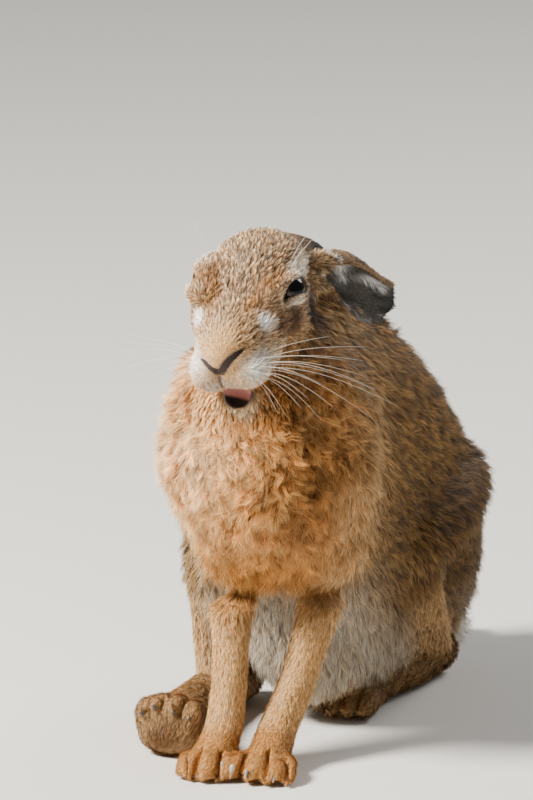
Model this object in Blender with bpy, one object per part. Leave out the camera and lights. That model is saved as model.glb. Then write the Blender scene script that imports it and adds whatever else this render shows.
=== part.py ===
"""A brown hare sitting upright, life size, as a still display model.

The flesh is one whole form cut into nodes, so neighbours meet face to face across a thin gap.
World axes: the hare faces -Y, +X is its own left side, +Z is up and the floor is z = 0.
"""

import math
import random

import bmesh
import bpy
from mathutils import Matrix, Vector
from mathutils.bvhtree import BVHTree

MM = 0.001
GAP = 0.3 * MM  # the clear space between two nodes

# ---------------------------------------------------------------- driving sizes, in millimetres
HEAD_PITCH = 17.0  # degrees that the nose points below level
HEAD_YAW = 2.0
NOSE_TIP = (1, -29, 265)

EYE_RADIUS = 9.8
EYE_PLACE = (25.8, 61.8, 18.6)  # the left eye's centre from the nose tip, in the head's own axes
EYE_LOOK = (0.86, -0.45, 0.24)  # where the left eye faces, in the head's own axes
EYE_OPENING = (17.0, 9.0)  # width and height of the almond between the lids
EYE_SLANT = -5.0  # degrees that the rear corner of the almond is raised
LID_RADIUS = 12.4

EAR_THICKNESS = 2.2
EAR_STATIONS = (  # along the ear: share of the length, cup radius, angles to its lower and upper edge, thickness share
    (0.00, 10.0, 150, 150, 1.0),
    (0.14, 12.0, 145, 150, 1.0),
    (0.27, 13.5, 122, 148, 1.0),
    (0.42, 14.5, 102, 140, 1.0),
    (0.58, 15.0, 92, 128, 1.0),
    (0.74, 15.2, 80, 100, 0.95),
    (0.87, 13.8, 64, 66, 0.85),
    (0.96, 10.5, 46, 38, 0.75),
    (1.00, 6.5, 30, 20, 0.7),
)
LEFT_EAR = ((16, 60, 308), (23, 88, 303), (32, 122, 280), (43, 165, 262))  # the shell's back, from root to tip
RIGHT_EAR = ((-14, 62, 304), (-8, 88, 304), (-4, 116, 303), (2, 162, 292))
LEFT_EAR_OPEN = (0.93, -0.29, -0.23)
RIGHT_EAR_OPEN = (-0.95, -0.15, -0.25)

TRUNK_VOXEL = 3.2
WHOLE_VOXEL = 1.9
TRUNK_SMOOTHING = 12
WHOLE_SMOOTHING = 3
FUR_SMOOTHING = 14
FLESH_TRIANGLES = 5050

# The trunk as upright sections: distance back, centre across, underside, topline, half width.
TRUNK_SECTIONS = (
    (-14, 2, 160, 206, 24),
    (2, 2, 132, 238, 46),
    (30, 2, 114, 262, 57),
    (62, 3, 98, 280, 60),
    (95, 5, 50, 289, 61),
    (130, 8, 16, 282, 59),
    (165, 11, 10, 263, 59),
    (200, 14, 10, 238, 58),
    (235, 17, 10, 208, 56),
    (265, 19, 12, 174, 50),
    (290, 20, 24, 130, 36),
    (304, 20, 50, 94, 18),
)
TRUNK_SQUARENESS = 2.2

# The head along its own axis from the nose tip: distance back, half width, top, widest level, underside.
HEAD_SECTIONS = (
    (1, 9, 7, -3, -11),
    (6, 15, 12, -7, -20),
    (16, 22, 18, -8, -27),
    (30, 26, 25, -4, -32),
    (44, 29, 31, 0, -35),
    (58, 32, 37, 4, -36),
    (72, 34, 40, 6, -36),
    (86, 32, 39, 8, -33),
    (100, 27, 34, 8, -26),
    (112, 16, 24, 8, -12),
)
HEAD_SQUARENESS = 2.3

# Each limb from the body down: centre point and radius of the coat's outside.
LEFT_FORELEG = (
    ((46, 48, 190), 30),
    ((44, 60, 150), 26),
    ((40, 62, 124), 19),
    ((33, 54, 88), 13.5),
    ((27, 38, 52), 12),
    ((20, 19, 24), 12.5),
)
RIGHT_FORELEG = (
    ((-34, 28, 190), 30),
    ((-25, 36, 150), 26),
    ((-16, 34, 122), 19),
    ((-11.5, 23, 88), 13),
    ((-9, 13, 56), 11.5),
    ((-9, 4, 28), 12),
)
LEFT_HINDLEG = (
    ((44, 245, 128), 36),
    ((54, 195, 120), 33),
    ((56, 156, 106), 24),
    ((52, 190, 64), 18),
    ((42, 238, 24), 15),
)
RIGHT_HINDLEG = (
    ((-18, 212, 128), 36),
    ((-38, 150, 122), 31),
    ((-51, 104, 116), 24),
    ((-55, 114, 76), 18),
    ((-56, 122, 28), 15),
)

TAIL = (((19, 280, 62), 15), ((20, 298, 38), 18), ((21, 315, 18), 19.5), ((22, 331, 14), 15.5))

LOCK_ROWS, LOCK_LOW, LOCK_HIGH = 5, 128, 220  # rows of chest locks between two heights
LOCK_STATIONS = (  # share of the length, share of the lift, share of the width, thickness in mm
    (-0.1, -0.8, 0.75, 1.5),
    (0.35, 0.45, 1.0, 3.0),
    (1.0, 1.0, 0.08, 0.6),
)

FLOOR_FLAT = 0.8  # how much of each sole is cut away to a flat

FUR = (0.42, 0.27, 0.15)
FUR_PALE = (0.80, 0.76, 0.70)
FUR_DARK = (0.16, 0.11, 0.08)


def vec(point):
    """A point or size given in millimetres, in metres."""
    return Vector(point) * MM


# ---------------------------------------------------------------- small modelling tools
def clear_scene():
    for old in list(bpy.data.objects):
        bpy.data.objects.remove(old)


def add_object(name, bm):
    """An object in the scene that takes the mesh in bm."""
    bmesh.ops.recalc_face_normals(bm, faces=bm.faces)
    mesh = bpy.data.meshes.new(name)
    bm.to_mesh(mesh)
    bm.free()
    obj = bpy.data.objects.new(name, mesh)
    bpy.context.scene.collection.objects.link(obj)
    return obj


def turned(degrees):
    """A rotation by degrees about X, then Y, then Z."""
    spin = Matrix()
    for angle, axis in zip(degrees, "XYZ"):
        spin = Matrix.Rotation(math.radians(angle), 4, axis) @ spin
    return spin


def ball(centre, radii, turn=(0, 0, 0), name="ball", sides=24):
    """An ellipsoid: centre and radii in mm, turned by degrees about X, then Y, then Z."""
    place = Matrix.Translation(vec(centre)) @ turned(turn) @ Matrix.Diagonal((*vec(radii), 1))
    bm = bmesh.new()
    bmesh.ops.create_uvsphere(bm, u_segments=sides, v_segments=sides // 2, radius=1, matrix=place)
    return add_object(name, bm)


def block(centre, size, turn=(0, 0, 0)):
    """A box about a centre, in mm, turned by degrees about X, then Y, then Z."""
    bm = bmesh.new()
    place = Matrix.Translation(vec(centre)) @ turned(turn) @ Matrix.Diagonal((*vec(size), 1))
    bmesh.ops.create_cube(bm, size=1, matrix=place)
    return add_object("block", bm)


def smooth_path(rows, steps):
    """Catmull-Rom points through rows of numbers, with steps points for each span."""
    rows = [Vector(row) for row in rows]
    rows = [rows[0] * 2 - rows[1], *rows, rows[-1] * 2 - rows[-2]]
    found = []
    for a, b, c, d in zip(rows, rows[1:], rows[2:], rows[3:]):
        for k in range(steps):
            t = k / steps
            found.append(
                0.5 * (2 * b + (c - a) * t + (2 * a - 5 * b + 4 * c - d) * t**2 + (3 * b - a - 3 * c + d) * t**3)
            )
    found.append(rows[-2])
    return found


def loft(name, rings, cupped=False):
    """Rings of points joined into one closed skin. A fan closes each end, or a strip where the rings are thin cups."""
    bm = bmesh.new()
    made = [[bm.verts.new(p) for p in ring] for ring in rings]
    for low, high in zip(made, made[1:]):
        for k in range(len(low)):
            j = (k + 1) % len(low)
            bm.faces.new((low[k], low[j], high[j], high[k]))
    for ring in (made[0], made[-1]):
        if cupped:
            for k in range(len(ring) // 2 - 1):
                bm.faces.new((ring[k], ring[k + 1], ring[-k - 2], ring[-k - 1]))
            continue
        middle = bm.verts.new(sum((v.co for v in ring), Vector()) / len(ring))
        for k in range(len(ring)):
            bm.faces.new((ring[k], ring[(k + 1) % len(ring)], middle))
    return add_object(name, bm)


def rounded_ring(half_width, top, level, under, squareness, sides):
    """Points (across, up) of a squarish oval that is widest at level."""
    points = []
    for k in range(sides):
        a = 2 * math.pi * k / sides
        c, s = math.cos(a), math.sin(a)
        c = math.copysign(abs(c) ** (2 / squareness), c)
        s = math.copysign(abs(s) ** (2 / squareness), s)
        points.append((half_width * c, level + s * ((top - level) if s > 0 else (level - under))))
    return points


def trunk_loft():
    """The trunk through its upright sections."""
    first = smooth_path([s[:3] for s in TRUNK_SECTIONS], 4)
    second = smooth_path([(s[3], s[4], 0) for s in TRUNK_SECTIONS], 4)
    rings = []
    for (back, across, under), (top, half, _) in zip(first, second):
        ring = rounded_ring(half, top, (top + under) / 2, under, TRUNK_SQUARENESS, 40)
        rings.append([vec((across + x, back, z)) for x, z in ring])
    return loft("trunk", rings)


def head_loft():
    """The skull and muzzle along the head's own axis."""
    first = smooth_path([s[:3] for s in HEAD_SECTIONS], 4)
    second = smooth_path([(s[3], s[4], 0) for s in HEAD_SECTIONS], 4)
    rings = []
    for (back, half, top), (level, under, _) in zip(first, second):
        ring = rounded_ring(half, top, level, under, HEAD_SQUARENESS, 36)
        rings.append([vec((x, back, z)) for x, z in ring])
    return loft("skull", rings)


def limb(stations, name="limb", sides=20, flat=1.0, steps=4, dome=(0.35, 0.65, 0.87, 0.98)):
    """A tube with domed ends through (centre, radius) stations in mm. flat thins it from top to bottom."""
    centres = smooth_path([s[0] for s in stations], steps)
    radii = [r.x for r in smooth_path([(s[1], 0, 0) for s in stations], steps)]
    frames = []
    for k, (centre, radius) in enumerate(zip(centres, radii)):
        ahead = (centres[min(k + 1, len(centres) - 1)] - centres[max(k - 1, 0)]).normalized()
        side = ahead.cross(Vector((0, 0, 1)) if abs(ahead.z) < 0.8 else Vector((0, 1, 0))).normalized()
        if frames and side.dot(frames[-1][2]) < 0:
            side.negate()
        if frames:
            side = (frames[-1][2] - ahead * frames[-1][2].dot(ahead)).normalized()
        frames.append((centre, radius, side, side.cross(ahead), ahead))
    first, last = frames[0], frames[-1]
    before = [(first[0] - first[4] * first[1] * math.sqrt(1 - d * d), first[1] * d, *first[2:]) for d in dome]
    after = [(last[0] + last[4] * last[1] * math.sqrt(1 - d * d), last[1] * d, *last[2:]) for d in reversed(dome)]
    turns = [2 * math.pi * k / sides for k in range(sides)]
    rings = [
        [(centre + (side * math.cos(a) + up * math.sin(a) * flat) * radius) * MM for a in turns]
        for centre, radius, side, up, _ in before + frames + after
    ]
    return loft(name, rings)


def applied(obj):
    """The object with its modifiers made part of its mesh."""
    graph = bpy.context.evaluated_depsgraph_get()
    graph.update()
    mesh = bpy.data.meshes.new_from_object(obj.evaluated_get(graph))
    obj.modifiers.clear()
    old = obj.data
    obj.data = mesh
    bpy.data.meshes.remove(old)
    return obj


def join(name, pieces):
    """One object that holds the meshes of all the pieces, which are removed."""
    bm = bmesh.new()
    for piece in pieces:
        bm.from_mesh(piece.data)
        bpy.data.objects.remove(piece)
    return add_object(name, bm)


def copy_of(obj, name):
    twin = bpy.data.objects.new(name, obj.data.copy())
    bpy.context.scene.collection.objects.link(twin)
    return twin


def fused(obj, voxel, smoothing):
    """Overlapping shapes made into one skin and softened."""
    fuse = obj.modifiers.new("fuse", "REMESH")
    fuse.mode = "VOXEL"
    fuse.voxel_size = voxel * MM
    soften = obj.modifiers.new("soften", "SMOOTH")
    soften.factor = 0.5
    soften.iterations = smoothing
    return applied(obj)


def combine(obj, tool, how):
    """obj united with, cut by or cut down to the tool."""
    change = obj.modifiers.new(how.lower(), "BOOLEAN")
    change.operation = how
    change.solver = "MANIFOLD"
    change.object = tool
    return applied(obj)


def grown(obj, amount, name="grown"):
    """A copy whose skin is moved out by amount metres."""
    twin = copy_of(obj, name)
    push = twin.modifiers.new("push", "DISPLACE")
    push.strength = amount
    push.mid_level = 0
    return applied(twin)


def triangulate(obj):
    bm = bmesh.new()
    bm.from_mesh(obj.data)
    bmesh.ops.triangulate(bm, faces=bm.faces)
    bm.to_mesh(obj.data)
    bm.free()


def keep_largest(obj):
    """Only the largest closed surface of the mesh stays. Surfaces that meet at a corner count as apart."""
    bm = bmesh.new()
    bm.from_mesh(obj.data)
    left, best = set(bm.faces), set()
    while left:
        queue = [left.pop()]
        found = set(queue)
        while queue:
            for edge in queue.pop().edges:
                for face in edge.link_faces:
                    if face in left:
                        left.remove(face)
                        found.add(face)
                        queue.append(face)
        if len(found) > len(best):
            best = found
    bmesh.ops.delete(bm, geom=[f for f in bm.faces if f not in best], context="FACES")
    bm.to_mesh(obj.data)
    bm.free()
    return obj


# ---------------------------------------------------------------- the head
def head_axes():
    """The head's own axes in the world: y runs back from the nose tip, z up."""
    return (
        Matrix.Translation(vec(NOSE_TIP))
        @ Matrix.Rotation(math.radians(HEAD_YAW), 4, "Z")
        @ Matrix.Rotation(math.radians(HEAD_PITCH), 4, "X")
    )


def on_head(obj):
    """Moves a shape made in the head's own axes to its place in the world."""
    obj.data.transform(head_axes())
    return obj


def eye_turn(side):
    """Rotation whose z axis is where an eye faces and whose x axis runs to its rear corner."""
    look = Vector((side * EYE_LOOK[0], EYE_LOOK[1], EYE_LOOK[2])).normalized()
    back = (Vector((0, 1, 0)) - look * look.y).normalized()
    up = back.cross(look) if side < 0 else look.cross(back)
    if up.z < 0:
        up.negate()
    slant = math.radians(EYE_SLANT)
    back, up = back * math.cos(slant) + up * math.sin(slant), up * math.cos(slant) - back * math.sin(slant)
    return back, up, look


def head_form():
    pieces = [
        head_loft(),
        ball((0, 6, 0), (11, 8, 8)),  # nose
        ball((2, 78, 24), (29, 31, 20)),  # crown
        ball((-3, 60, 19), (35, 27, 17)),  # the flat brow between the eyes
        ball((3, 26, -35), (14, 20, 8.5)),  # lower jaw, dropped and a little to the left
        ball((-12, 15, -13.5), (13.5, 15, 15)),  # whisker pads: the lip hangs lower on the right
        ball((12, 15, -10.5), (13.5, 15, 12.5)),
        ball((-23, 59, 23.5), (17, 29, 11), (0, -12, 8)),  # brows, the right one pushed out
        ball((20, 60, 22), (14, 28, 10), (0, 12, -8)),
        ball((-17.5, 46, 6), (15.5, 27, 17), (0, 0, 12)),  # face below the eyes
        ball((17, 44, 5), (15, 26, 17), (0, 0, -12)),
    ]
    for side in (-1, 1):
        pieces += [
            ball((side * 20, 68, -11), (15, 30, 21)),  # cheek
            ball((side * EYE_PLACE[0], *EYE_PLACE[1:]), (LID_RADIUS,) * 3),  # the lids' mass
        ]
    return fused(on_head(join("head_form", pieces)), 1.6, 3)


def almond(side, stations, bend=0.0):
    """A plug with the outline of the gap between the lids, through (reach from the eye's centre, swell) stations.
    bend draws its corners back, as the lids wrap round the ball."""
    back, up, look = eye_turn(side)
    centre = Vector((side * EYE_PLACE[0], *EYE_PLACE[1:]))
    half, tall = EYE_OPENING[0] / 2, EYE_OPENING[1] / 2
    rings = []
    for reach, swell in stations:
        ring = []
        for k in range(14):
            a = 2 * math.pi * k / 14
            across = half * math.cos(a)
            rise = tall * math.sin(a) * (1 - 0.35 * math.cos(a) ** 2) * (0.8 if math.sin(a) > 0 else 1.1)
            grow = (swell - 1) * tall
            stretch = Vector((across, rise)).normalized() * grow
            sunk = reach - bend * across * across
            ring.append((centre + look * sunk + back * (across + stretch.x) + up * (rise + stretch.y)) * MM)
        rings.append(ring)
    return on_head(loft("almond", rings))


def lid_rim(side):
    """The thick edge of both lids, a low wall around the opening."""
    r = EYE_RADIUS
    return almond(side, ((r - 5, 1.6), (r - 0.6, 1.75), (r + 1.1, 1.6), (r + 1.9, 1.25)), 0.038)


def add_face(head):
    """Adds lid rims, then opens the eyes, nostrils, split lip and mouth in the finished head."""
    cuts = []
    for side in (-1, 1):
        rim = lid_rim(side)
        combine(head, rim, "UNION")
        bpy.data.objects.remove(rim)
        place = (side * EYE_PLACE[0], *EYE_PLACE[1:])
        r = EYE_RADIUS
        low = 2.5 * (1 - side)  # the right nostril and the right corner of the mouth lie lower
        nostril = (((-1.6, -1.4, -8.5), 1.1), ((side * 5 - 1, -1.2, -3 - low / 2), 1.6), ((side * 12, 3, 4.5 - low), 1.9))
        mouth_line = (((2, 6, -28), 2.2), ((side * 12 + 1, 22, -27 - low / 2), 1.5), ((side * 17, 38, -25), 0.8))
        cuts += [
            on_head(ball(place, (r + 0.35,) * 3, sides=16)),
            almond(side, ((2, 0.7), (r - 1, 1.0), (r + 3, 1.15), (r + 8, 1.5))),
            on_head(limb(nostril, "nostril", 6, steps=2, dome=(0.7,))),
            on_head(limb(mouth_line, "mouth_line", 6, steps=1, dome=(0.7,))),
        ]
    cuts += [
        on_head(ball((-1.9, 2, -17.5), (1.4, 5.5, 11), (-8, 0, 0), sides=10)),  # cleft of the upper lip, left of the middle
        on_head(ball((2.5, 8, -29.5), (9.5, 13, 7), (-8, 8, 0), sides=14)),  # open mouth
    ]
    for cut in cuts:
        combine(head, cut, "DIFFERENCE")
        bpy.data.objects.remove(cut)
    return keep_largest(head)


def eye(side, name):
    place = (side * EYE_PLACE[0], *EYE_PLACE[1:])
    return on_head(ball(place, (EYE_RADIUS,) * 3, name=name, sides=14))


def ear(line, opening, name):
    """A cupped shell along the line of its back, open towards opening."""
    centres = smooth_path(line, 12)
    count = 9
    rings = []
    stations = smooth_path([s[:3] for s in EAR_STATIONS], 2)
    edges = smooth_path([(s[3], s[4], 0) for s in EAR_STATIONS], 2)
    for (share, radius, lower), (upper, thin, _) in zip(stations, edges):
        spot = min(max(share, 0), 1) * (len(centres) - 1)
        low = min(int(spot), len(centres) - 2)
        back = centres[low].lerp(centres[low + 1], spot - low)
        ahead = (centres[min(low + 2, len(centres) - 1)] - centres[max(low - 1, 0)]).normalized()
        out = Vector(opening)
        out = (out - ahead * out.dot(ahead)).normalized()
        up = ahead.cross(out)
        if up.z < 0:
            up.negate()
        middle = back + out * radius
        angles = [math.radians(-lower + (lower + upper) * k / (count - 1)) for k in range(count)]
        thickness = EAR_THICKNESS * thin
        outer = [middle + (up * math.sin(a) - out * math.cos(a)) * radius for a in angles]
        inner = [middle + (up * math.sin(a) - out * math.cos(a)) * (radius - thickness) for a in reversed(angles)]
        rings.append([p * MM for p in outer + inner])
    shell = loft(name, rings, cupped=True)
    along = centres[4] - centres[0]
    root = ball(Vector(line[0]) + Vector(opening) * 9.5 + along * 0.6, (9, 16, 9.2), (-24, 0, 0), sides=12)
    combine(shell, root, "UNION")
    bpy.data.objects.remove(root)
    return shell


# ---------------------------------------------------------------- the body
def trunk_mass():
    pieces = [
        trunk_loft(),
        limb((((-3, 44, 262), 39), ((0, 78, 252), 46.5), ((3, 110, 230), 50)), "neck"),
        ball((0, 20, 192), (54, 35, 57)),  # chest ruff
        ball((4, 120, 72), (46, 38, 58)),  # belly
        ball((38, 62, 206), (30, 42, 48), (-25, 0, 0)),  # shoulders
        ball((-32, 56, 206), (28, 42, 48), (-25, 0, 0)),
        ball((-31, 46, 219), (28, 38, 41)),  # the ruff at both sides of the neck
        ball((36, 52, 222), (27, 36, 40)),
        ball((44, 220, 110), (34, 60, 72), (28, 0, 0)),  # haunches
        ball((-22, 202, 110), (34, 60, 72), (28, 0, 0)),
        ball((-39, 146, 104), (31, 54, 50), (14, 0, 6)),  # the right thigh, drawn forward
        ball((19, 262, 96), (48, 42, 66), (20, 0, 0)),  # rump
    ]
    return fused(join("trunk_mass", pieces), TRUNK_VOXEL, TRUNK_SMOOTHING)


def toes(root, ahead, width, length, radius, lift=(0, 0, 0, 0)):
    """Four toes fanned out from root along ahead, the middle two longest."""
    ahead, root = Vector(ahead).normalized(), Vector(root)
    across = Vector((0, 0, 1)).cross(ahead).normalized()
    made = []
    for place, raised in zip((-1, -0.34, 0.34, 1), lift):
        reach = length * (1 - 0.2 * place * place)
        start = root + across * place * width * 0.34
        tip = root + ahead * reach + across * place * width * 0.5
        start.z = max(start.z, radius)
        tip.z = radius + raised
        middle = start.lerp(tip, 0.55) + Vector((0, 0, radius * 0.5))
        made.append(limb(((start, radius), (middle, radius * 1.05), (tip, radius * 0.9)), "toe", 12))
    return made


def feet():
    made = [
        limb((((20, 19, 24), 12.5), ((21, 6, 16), 13.5), ((22, -8, 11), 13)), "paw", 18, 0.9),
        limb((((-9, 4, 28), 12), ((-10, -6, 17), 13), ((-12, -16, 11.5), 12)), "paw", 18, 0.9),
        *toes((23, -4, 10), (0.06, -1, 0), 37, 25, 5.8),
        *toes((-12, -12, 10), (-0.02, -1, 0), 26, 22, 5.5),
        limb((((42, 254, 16), 15), ((38, 222, 16), 16), ((31, 188, 16), 16), ((27, 160, 17), 15)), "foot", 18, 0.95),
        *toes((27, 160, 12), (-0.14, -1, 0), 30, 32, 8),
        limb((((-51, 152, 16), 15), ((-55, 116, 17), 16), ((-54, 75, 18), 16), ((-51, 42, 20), 17)), "foot", 18, 0.95),
        ball((-51, 24, 20), (24, 17, 20), (20, 0, 0)),
        ball((-50, 18, 14), (22, 14, 14)),
    ]
    for place in (-1, -0.34, 0.34, 1):
        root = Vector((-51 + 14 * place, 32, 24))
        tip = Vector((-51 + 16 * place, 12 + 4 * abs(place), 35 - 8 * abs(place)))
        made.append(limb(((root, 8), (root.lerp(tip, 0.6) + Vector((0, 0, 3)), 8), (tip, 6.8)), "toe", 12))
    return made


def whole_form():
    """Head, trunk, limbs and tail as one smooth skin."""
    pieces = [
        trunk_mass(),
        head_form(),
        *(limb(line, "leg") for line in (LEFT_FORELEG, RIGHT_FORELEG, LEFT_HINDLEG, RIGHT_HINDLEG)),
        *feet(),
        limb(TAIL, "tail", 18, 0.85),
    ]
    return fused(join("hare", pieces), WHOLE_VOXEL, WHOLE_SMOOTHING)


def softened_body(hare):
    """Rounds the folds between trunk and limbs, and leaves the head, paws and tail sharp."""
    group = hare.vertex_groups.new(name="body")
    for vert in hare.data.vertices:
        x, y, z = vert.co / MM
        share = min(1, max(0, (z - 62) / 30)) * min(1, max(0, (252 - z + max(0, y - 60)) / 20))
        group.add([vert.index], share * min(1, max(0, (296 - y) / 15)), "REPLACE")
    soften = hare.modifiers.new("soften", "SMOOTH")
    soften.factor = 0.5
    soften.iterations = FUR_SMOOTHING
    soften.vertex_group = "body"
    return applied(hare)


def thinned(hare):
    """Fewer triangles, most of them kept for the head and the feet."""
    group = hare.vertex_groups.new(name="plain")
    for vert in hare.data.vertices:
        x, y, z = vert.co / MM
        head = min(1, max(0, (z - 225) / 12)) * min(1, max(0, (75 - y) / 20))
        foot = min(1, max(0, (50 - z) / 12)) * min(1, max(0, (70 - y) / 20))
        group.add([vert.index], 1 - max(0.9 * head, 0.6 * foot), "REPLACE")
    fewer = hare.modifiers.new("fewer", "DECIMATE")
    fewer.ratio = FLESH_TRIANGLES / (2 * len(hare.data.polygons))
    fewer.vertex_group = "plain"
    fewer.vertex_group_factor = 0.009
    return applied(hare)


# ---------------------------------------------------------------- nodes cut out of the whole
def carve(body, name, tool, colour):
    """The part of body inside the closed tool becomes a node, and leaves body with a thin gap around it."""
    triangulate(tool)  # so that both copies of a curved face fold along the same lines
    node = combine(copy_of(body, name), tool, "INTERSECT")
    wider = grown(tool, GAP)
    combine(body, wider, "DIFFERENCE")
    for used in (tool, wider):
        bpy.data.objects.remove(used)
    return painted(keep_largest(node), colour)


def painted(obj, colour, roughness=0.9):
    """One Principled material on the node."""
    material = bpy.data.materials.new(obj.name)
    material.use_nodes = True
    shader = material.node_tree.nodes["Principled BSDF"]
    shader.inputs["Base Color"].default_value = (*colour, 1)
    shader.inputs["Roughness"].default_value = roughness
    obj.data.materials.clear()
    obj.data.materials.append(material)
    return obj


def head_region():
    """A closed form just outside the head that ends inside the neck."""
    rings = []
    for back, half, top, under in (
        (-14, 14, 16, -32),
        (-10, 26, 24, -53),
        (0, 34, 30, -59),
        (30, 44, 42, -57),
        (60, 51, 51, -51),
        (84, 48, 55, -42),
        (100, 39, 53, -30),
        (112, 24, 45, -14),
    ):
        ring = rounded_ring(half, top, (top + under) / 2, under, 2.5, 20)
        rings.append([vec((x, back, z)) for x, z in ring])
    return on_head(loft("head_region", rings))


def tube_tool(stations):
    """A plain cutting tube with few sides."""
    return limb(stations, "tool", 10, steps=2, dome=(0.72,))


def wider_limb(stations, extra):
    """A cutting tube around a limb, extra mm outside it."""
    return tube_tool([(centre, radius + extra) for centre, radius in stations])


def paw_tool(stations, low_x, high_x):
    """A cutting tube around a front paw, kept between two upright planes so that the paws part cleanly."""
    tool = tube_tool(stations)
    between = block(((low_x + high_x) / 2, 0, 20), (high_x - low_x, 200, 200))
    combine(tool, between, "INTERSECT")
    bpy.data.objects.remove(between)
    return tool


def split_whole(hare):
    """Cuts the whole form into its named nodes, the small ones first."""
    right_paw = (((-9.5, 3, 24), 17.5), ((-12, -8, 14), 19.5), ((-16, -26, 8), 26))
    left_paw = (((20.5, 20, 24), 18), ((21, 6, 14), 22), ((24, -16, 8), 30))
    right_foot = (((-50, 163, 12), 22), ((-54, 112, 13), 24), ((-53, 20, 20), 36), ((-54, 0, 24), 36))
    left_foot = (((43, 262, 12), 22), ((38, 222, 12), 23), ((28, 165, 12), 26), ((20, 118, 10), 28))
    carve(hare, "paw_right", paw_tool(right_paw, -80, 3), FUR)
    carve(hare, "paw_left", paw_tool(left_paw, 3.2, 80), FUR)
    carve(hare, "foot_right", tube_tool(right_foot), FUR)
    carve(hare, "foot_left", tube_tool(left_foot), FUR)
    carve(hare, "foreleg_left", wider_limb(LEFT_FORELEG[2:], 5), FUR)
    carve(hare, "foreleg_right", wider_limb(RIGHT_FORELEG[2:], 5), FUR)
    carve(hare, "shank_left", wider_limb(LEFT_HINDLEG[2:], 4), FUR)
    carve(hare, "shank_right", wider_limb(RIGHT_HINDLEG[2:], 4), FUR)
    carve(hare, "tail", wider_limb(TAIL, 5), FUR_PALE)
    carve(hare, "head", head_region(), FUR)
    carve(hare, "thigh_left", ball((74, 202, 108), (44, 82, 76), (24, 0, 0), "tool", 16), FUR)
    carve(hare, "thigh_right", ball((-52, 176, 108), (42, 82, 76), (24, 0, 0), "tool", 16), FUR)
    carve(hare, "neck", block((3, 20, 290), (200, 220, 110), (-30, 0, 0)), FUR)
    carve(hare, "chest", block((3, 6, 205), (200, 170, 206)), FUR)
    carve(hare, "rump", block((18, 290, 150), (200, 190, 400), (20, 0, 0)), FUR)
    hare.name = "torso"
    painted(keep_largest(hare), FUR)


# ---------------------------------------------------------------- claws and the chest's long coat
def claw(base, ahead, length):
    """A small curved spike from base along ahead, drooping at its end."""
    base, ahead = Vector(base), Vector(ahead).normalized()
    side = ahead.cross(Vector((0, 0, 1))).normalized()
    rings = []
    for share, thick in ((-0.5, 1.8), (0.5, 1.4), (1.0, 0.35)):
        centre = base + (ahead - Vector((0, 0, 0.3)) * max(0, share)) * length * share
        up = side.cross(ahead)
        rings.append([(centre + (side * x + up * z) * thick) * MM for x, z in ((1, 0), (0, 1), (-1, 0), (0, -1))])
    return loft("claw", rings)


def add_claws():
    """Four claws on each foot, at the toes' tips."""
    down = Vector((0, -1, -0.12))
    places = {
        "paw_left": [(24.4 + 18 * k, -28 + 4.5 * abs(k), 7.2) for k in (-1, -0.34, 0.34, 1)],
        "paw_right": [(-12.5 + 13 * k, -33 + 4.5 * abs(k), 7.2) for k in (-1, -0.34, 0.34, 1)],
        "foot_left": [(22.5 + 15 * k, 124 + 6 * abs(k), 9.5) for k in (-1, -0.34, 0.34, 1)],
        "foot_right": [(-51 + 16 * k, 7.5 + 4 * abs(k), 37 - 8 * abs(k)) for k in (-1, -0.34, 0.34, 1)],
    }
    for name, spots in places.items():
        foot = bpy.data.objects[name]
        ahead = Vector((0, -0.55, 0.85)) if name == "foot_right" else down
        for spot in spots:
            spike = claw(spot, ahead, 8.5)
            combine(foot, spike, "UNION")
            bpy.data.objects.remove(spike)
        keep_largest(foot)


def lock(tree, root, out, fall, length, lift, width, sway):
    """A flat tapering tuft of long hair that follows the skin from root and leans out towards its tip."""
    out, fall = out.normalized(), fall.normalized()
    side = fall.cross(out).normalized()
    rings = []
    for share, rise, wide, thick in LOCK_STATIONS:
        over = (root + fall * length * share) * MM
        skin, normal, _, _ = tree.find_nearest(over)
        centre = skin / MM + (normal * 0.7 + out * 0.3) * lift * rise + side * sway * share * share
        half = width / 2 * wide
        rings.append([(centre + side * half * a + out * thick * b) * MM for a, b in ((1, 0), (0, 1), (-1, 0))])
    return loft("lock", rings)


def chest_locks(tree):
    """Rows of locks over the front and sides of the chest."""
    rng = random.Random(11)
    made = []
    for row in range(LOCK_ROWS):
        height = LOCK_LOW + (LOCK_HIGH - LOCK_LOW) * row / (LOCK_ROWS - 1)
        for k in range(-4, 4):
            angle = math.radians(24 * (k + 0.25 + 0.5 * (row % 2)) + rng.uniform(-4, 4))
            start = Vector((3, 46, height + rng.uniform(-3, 3)))
            way = Vector((math.sin(angle), -math.cos(angle), 0))
            spot, normal, _, _ = tree.ray_cast(start * MM, way)
            fall = Vector((rng.uniform(-0.25, 0.25), 0, -1))
            fall -= normal * fall.dot(normal)
            length, width = rng.uniform(22, 27), rng.uniform(13, 17)
            lift, sway = rng.uniform(5, 7.5), rng.uniform(-4, 4)
            made.append(lock(tree, spot / MM, normal, fall, length, lift, width, sway))
    return made


def add_locks(name, locks, neighbours):
    """Joins the locks to a node, then trims them where they would touch its neighbours."""
    node = bpy.data.objects[name]
    group = bpy.data.collections.new("locks")
    bpy.context.scene.collection.children.link(group)
    for piece in locks:
        bpy.context.scene.collection.objects.unlink(piece)
        group.objects.link(piece)
    unite = node.modifiers.new("unite", "BOOLEAN")
    unite.operation = "UNION"
    unite.solver = "MANIFOLD"
    unite.operand_type = "COLLECTION"
    unite.collection = group
    applied(node)
    for piece in list(group.objects):
        bpy.data.objects.remove(piece)
    bpy.data.collections.remove(group)
    keep_largest(node)
    for other in neighbours:
        triangulate(bpy.data.objects[other])
        wider = grown(bpy.data.objects[other], GAP)
        combine(node, wider, "DIFFERENCE")
        bpy.data.objects.remove(wider)
    keep_largest(node)


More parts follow.
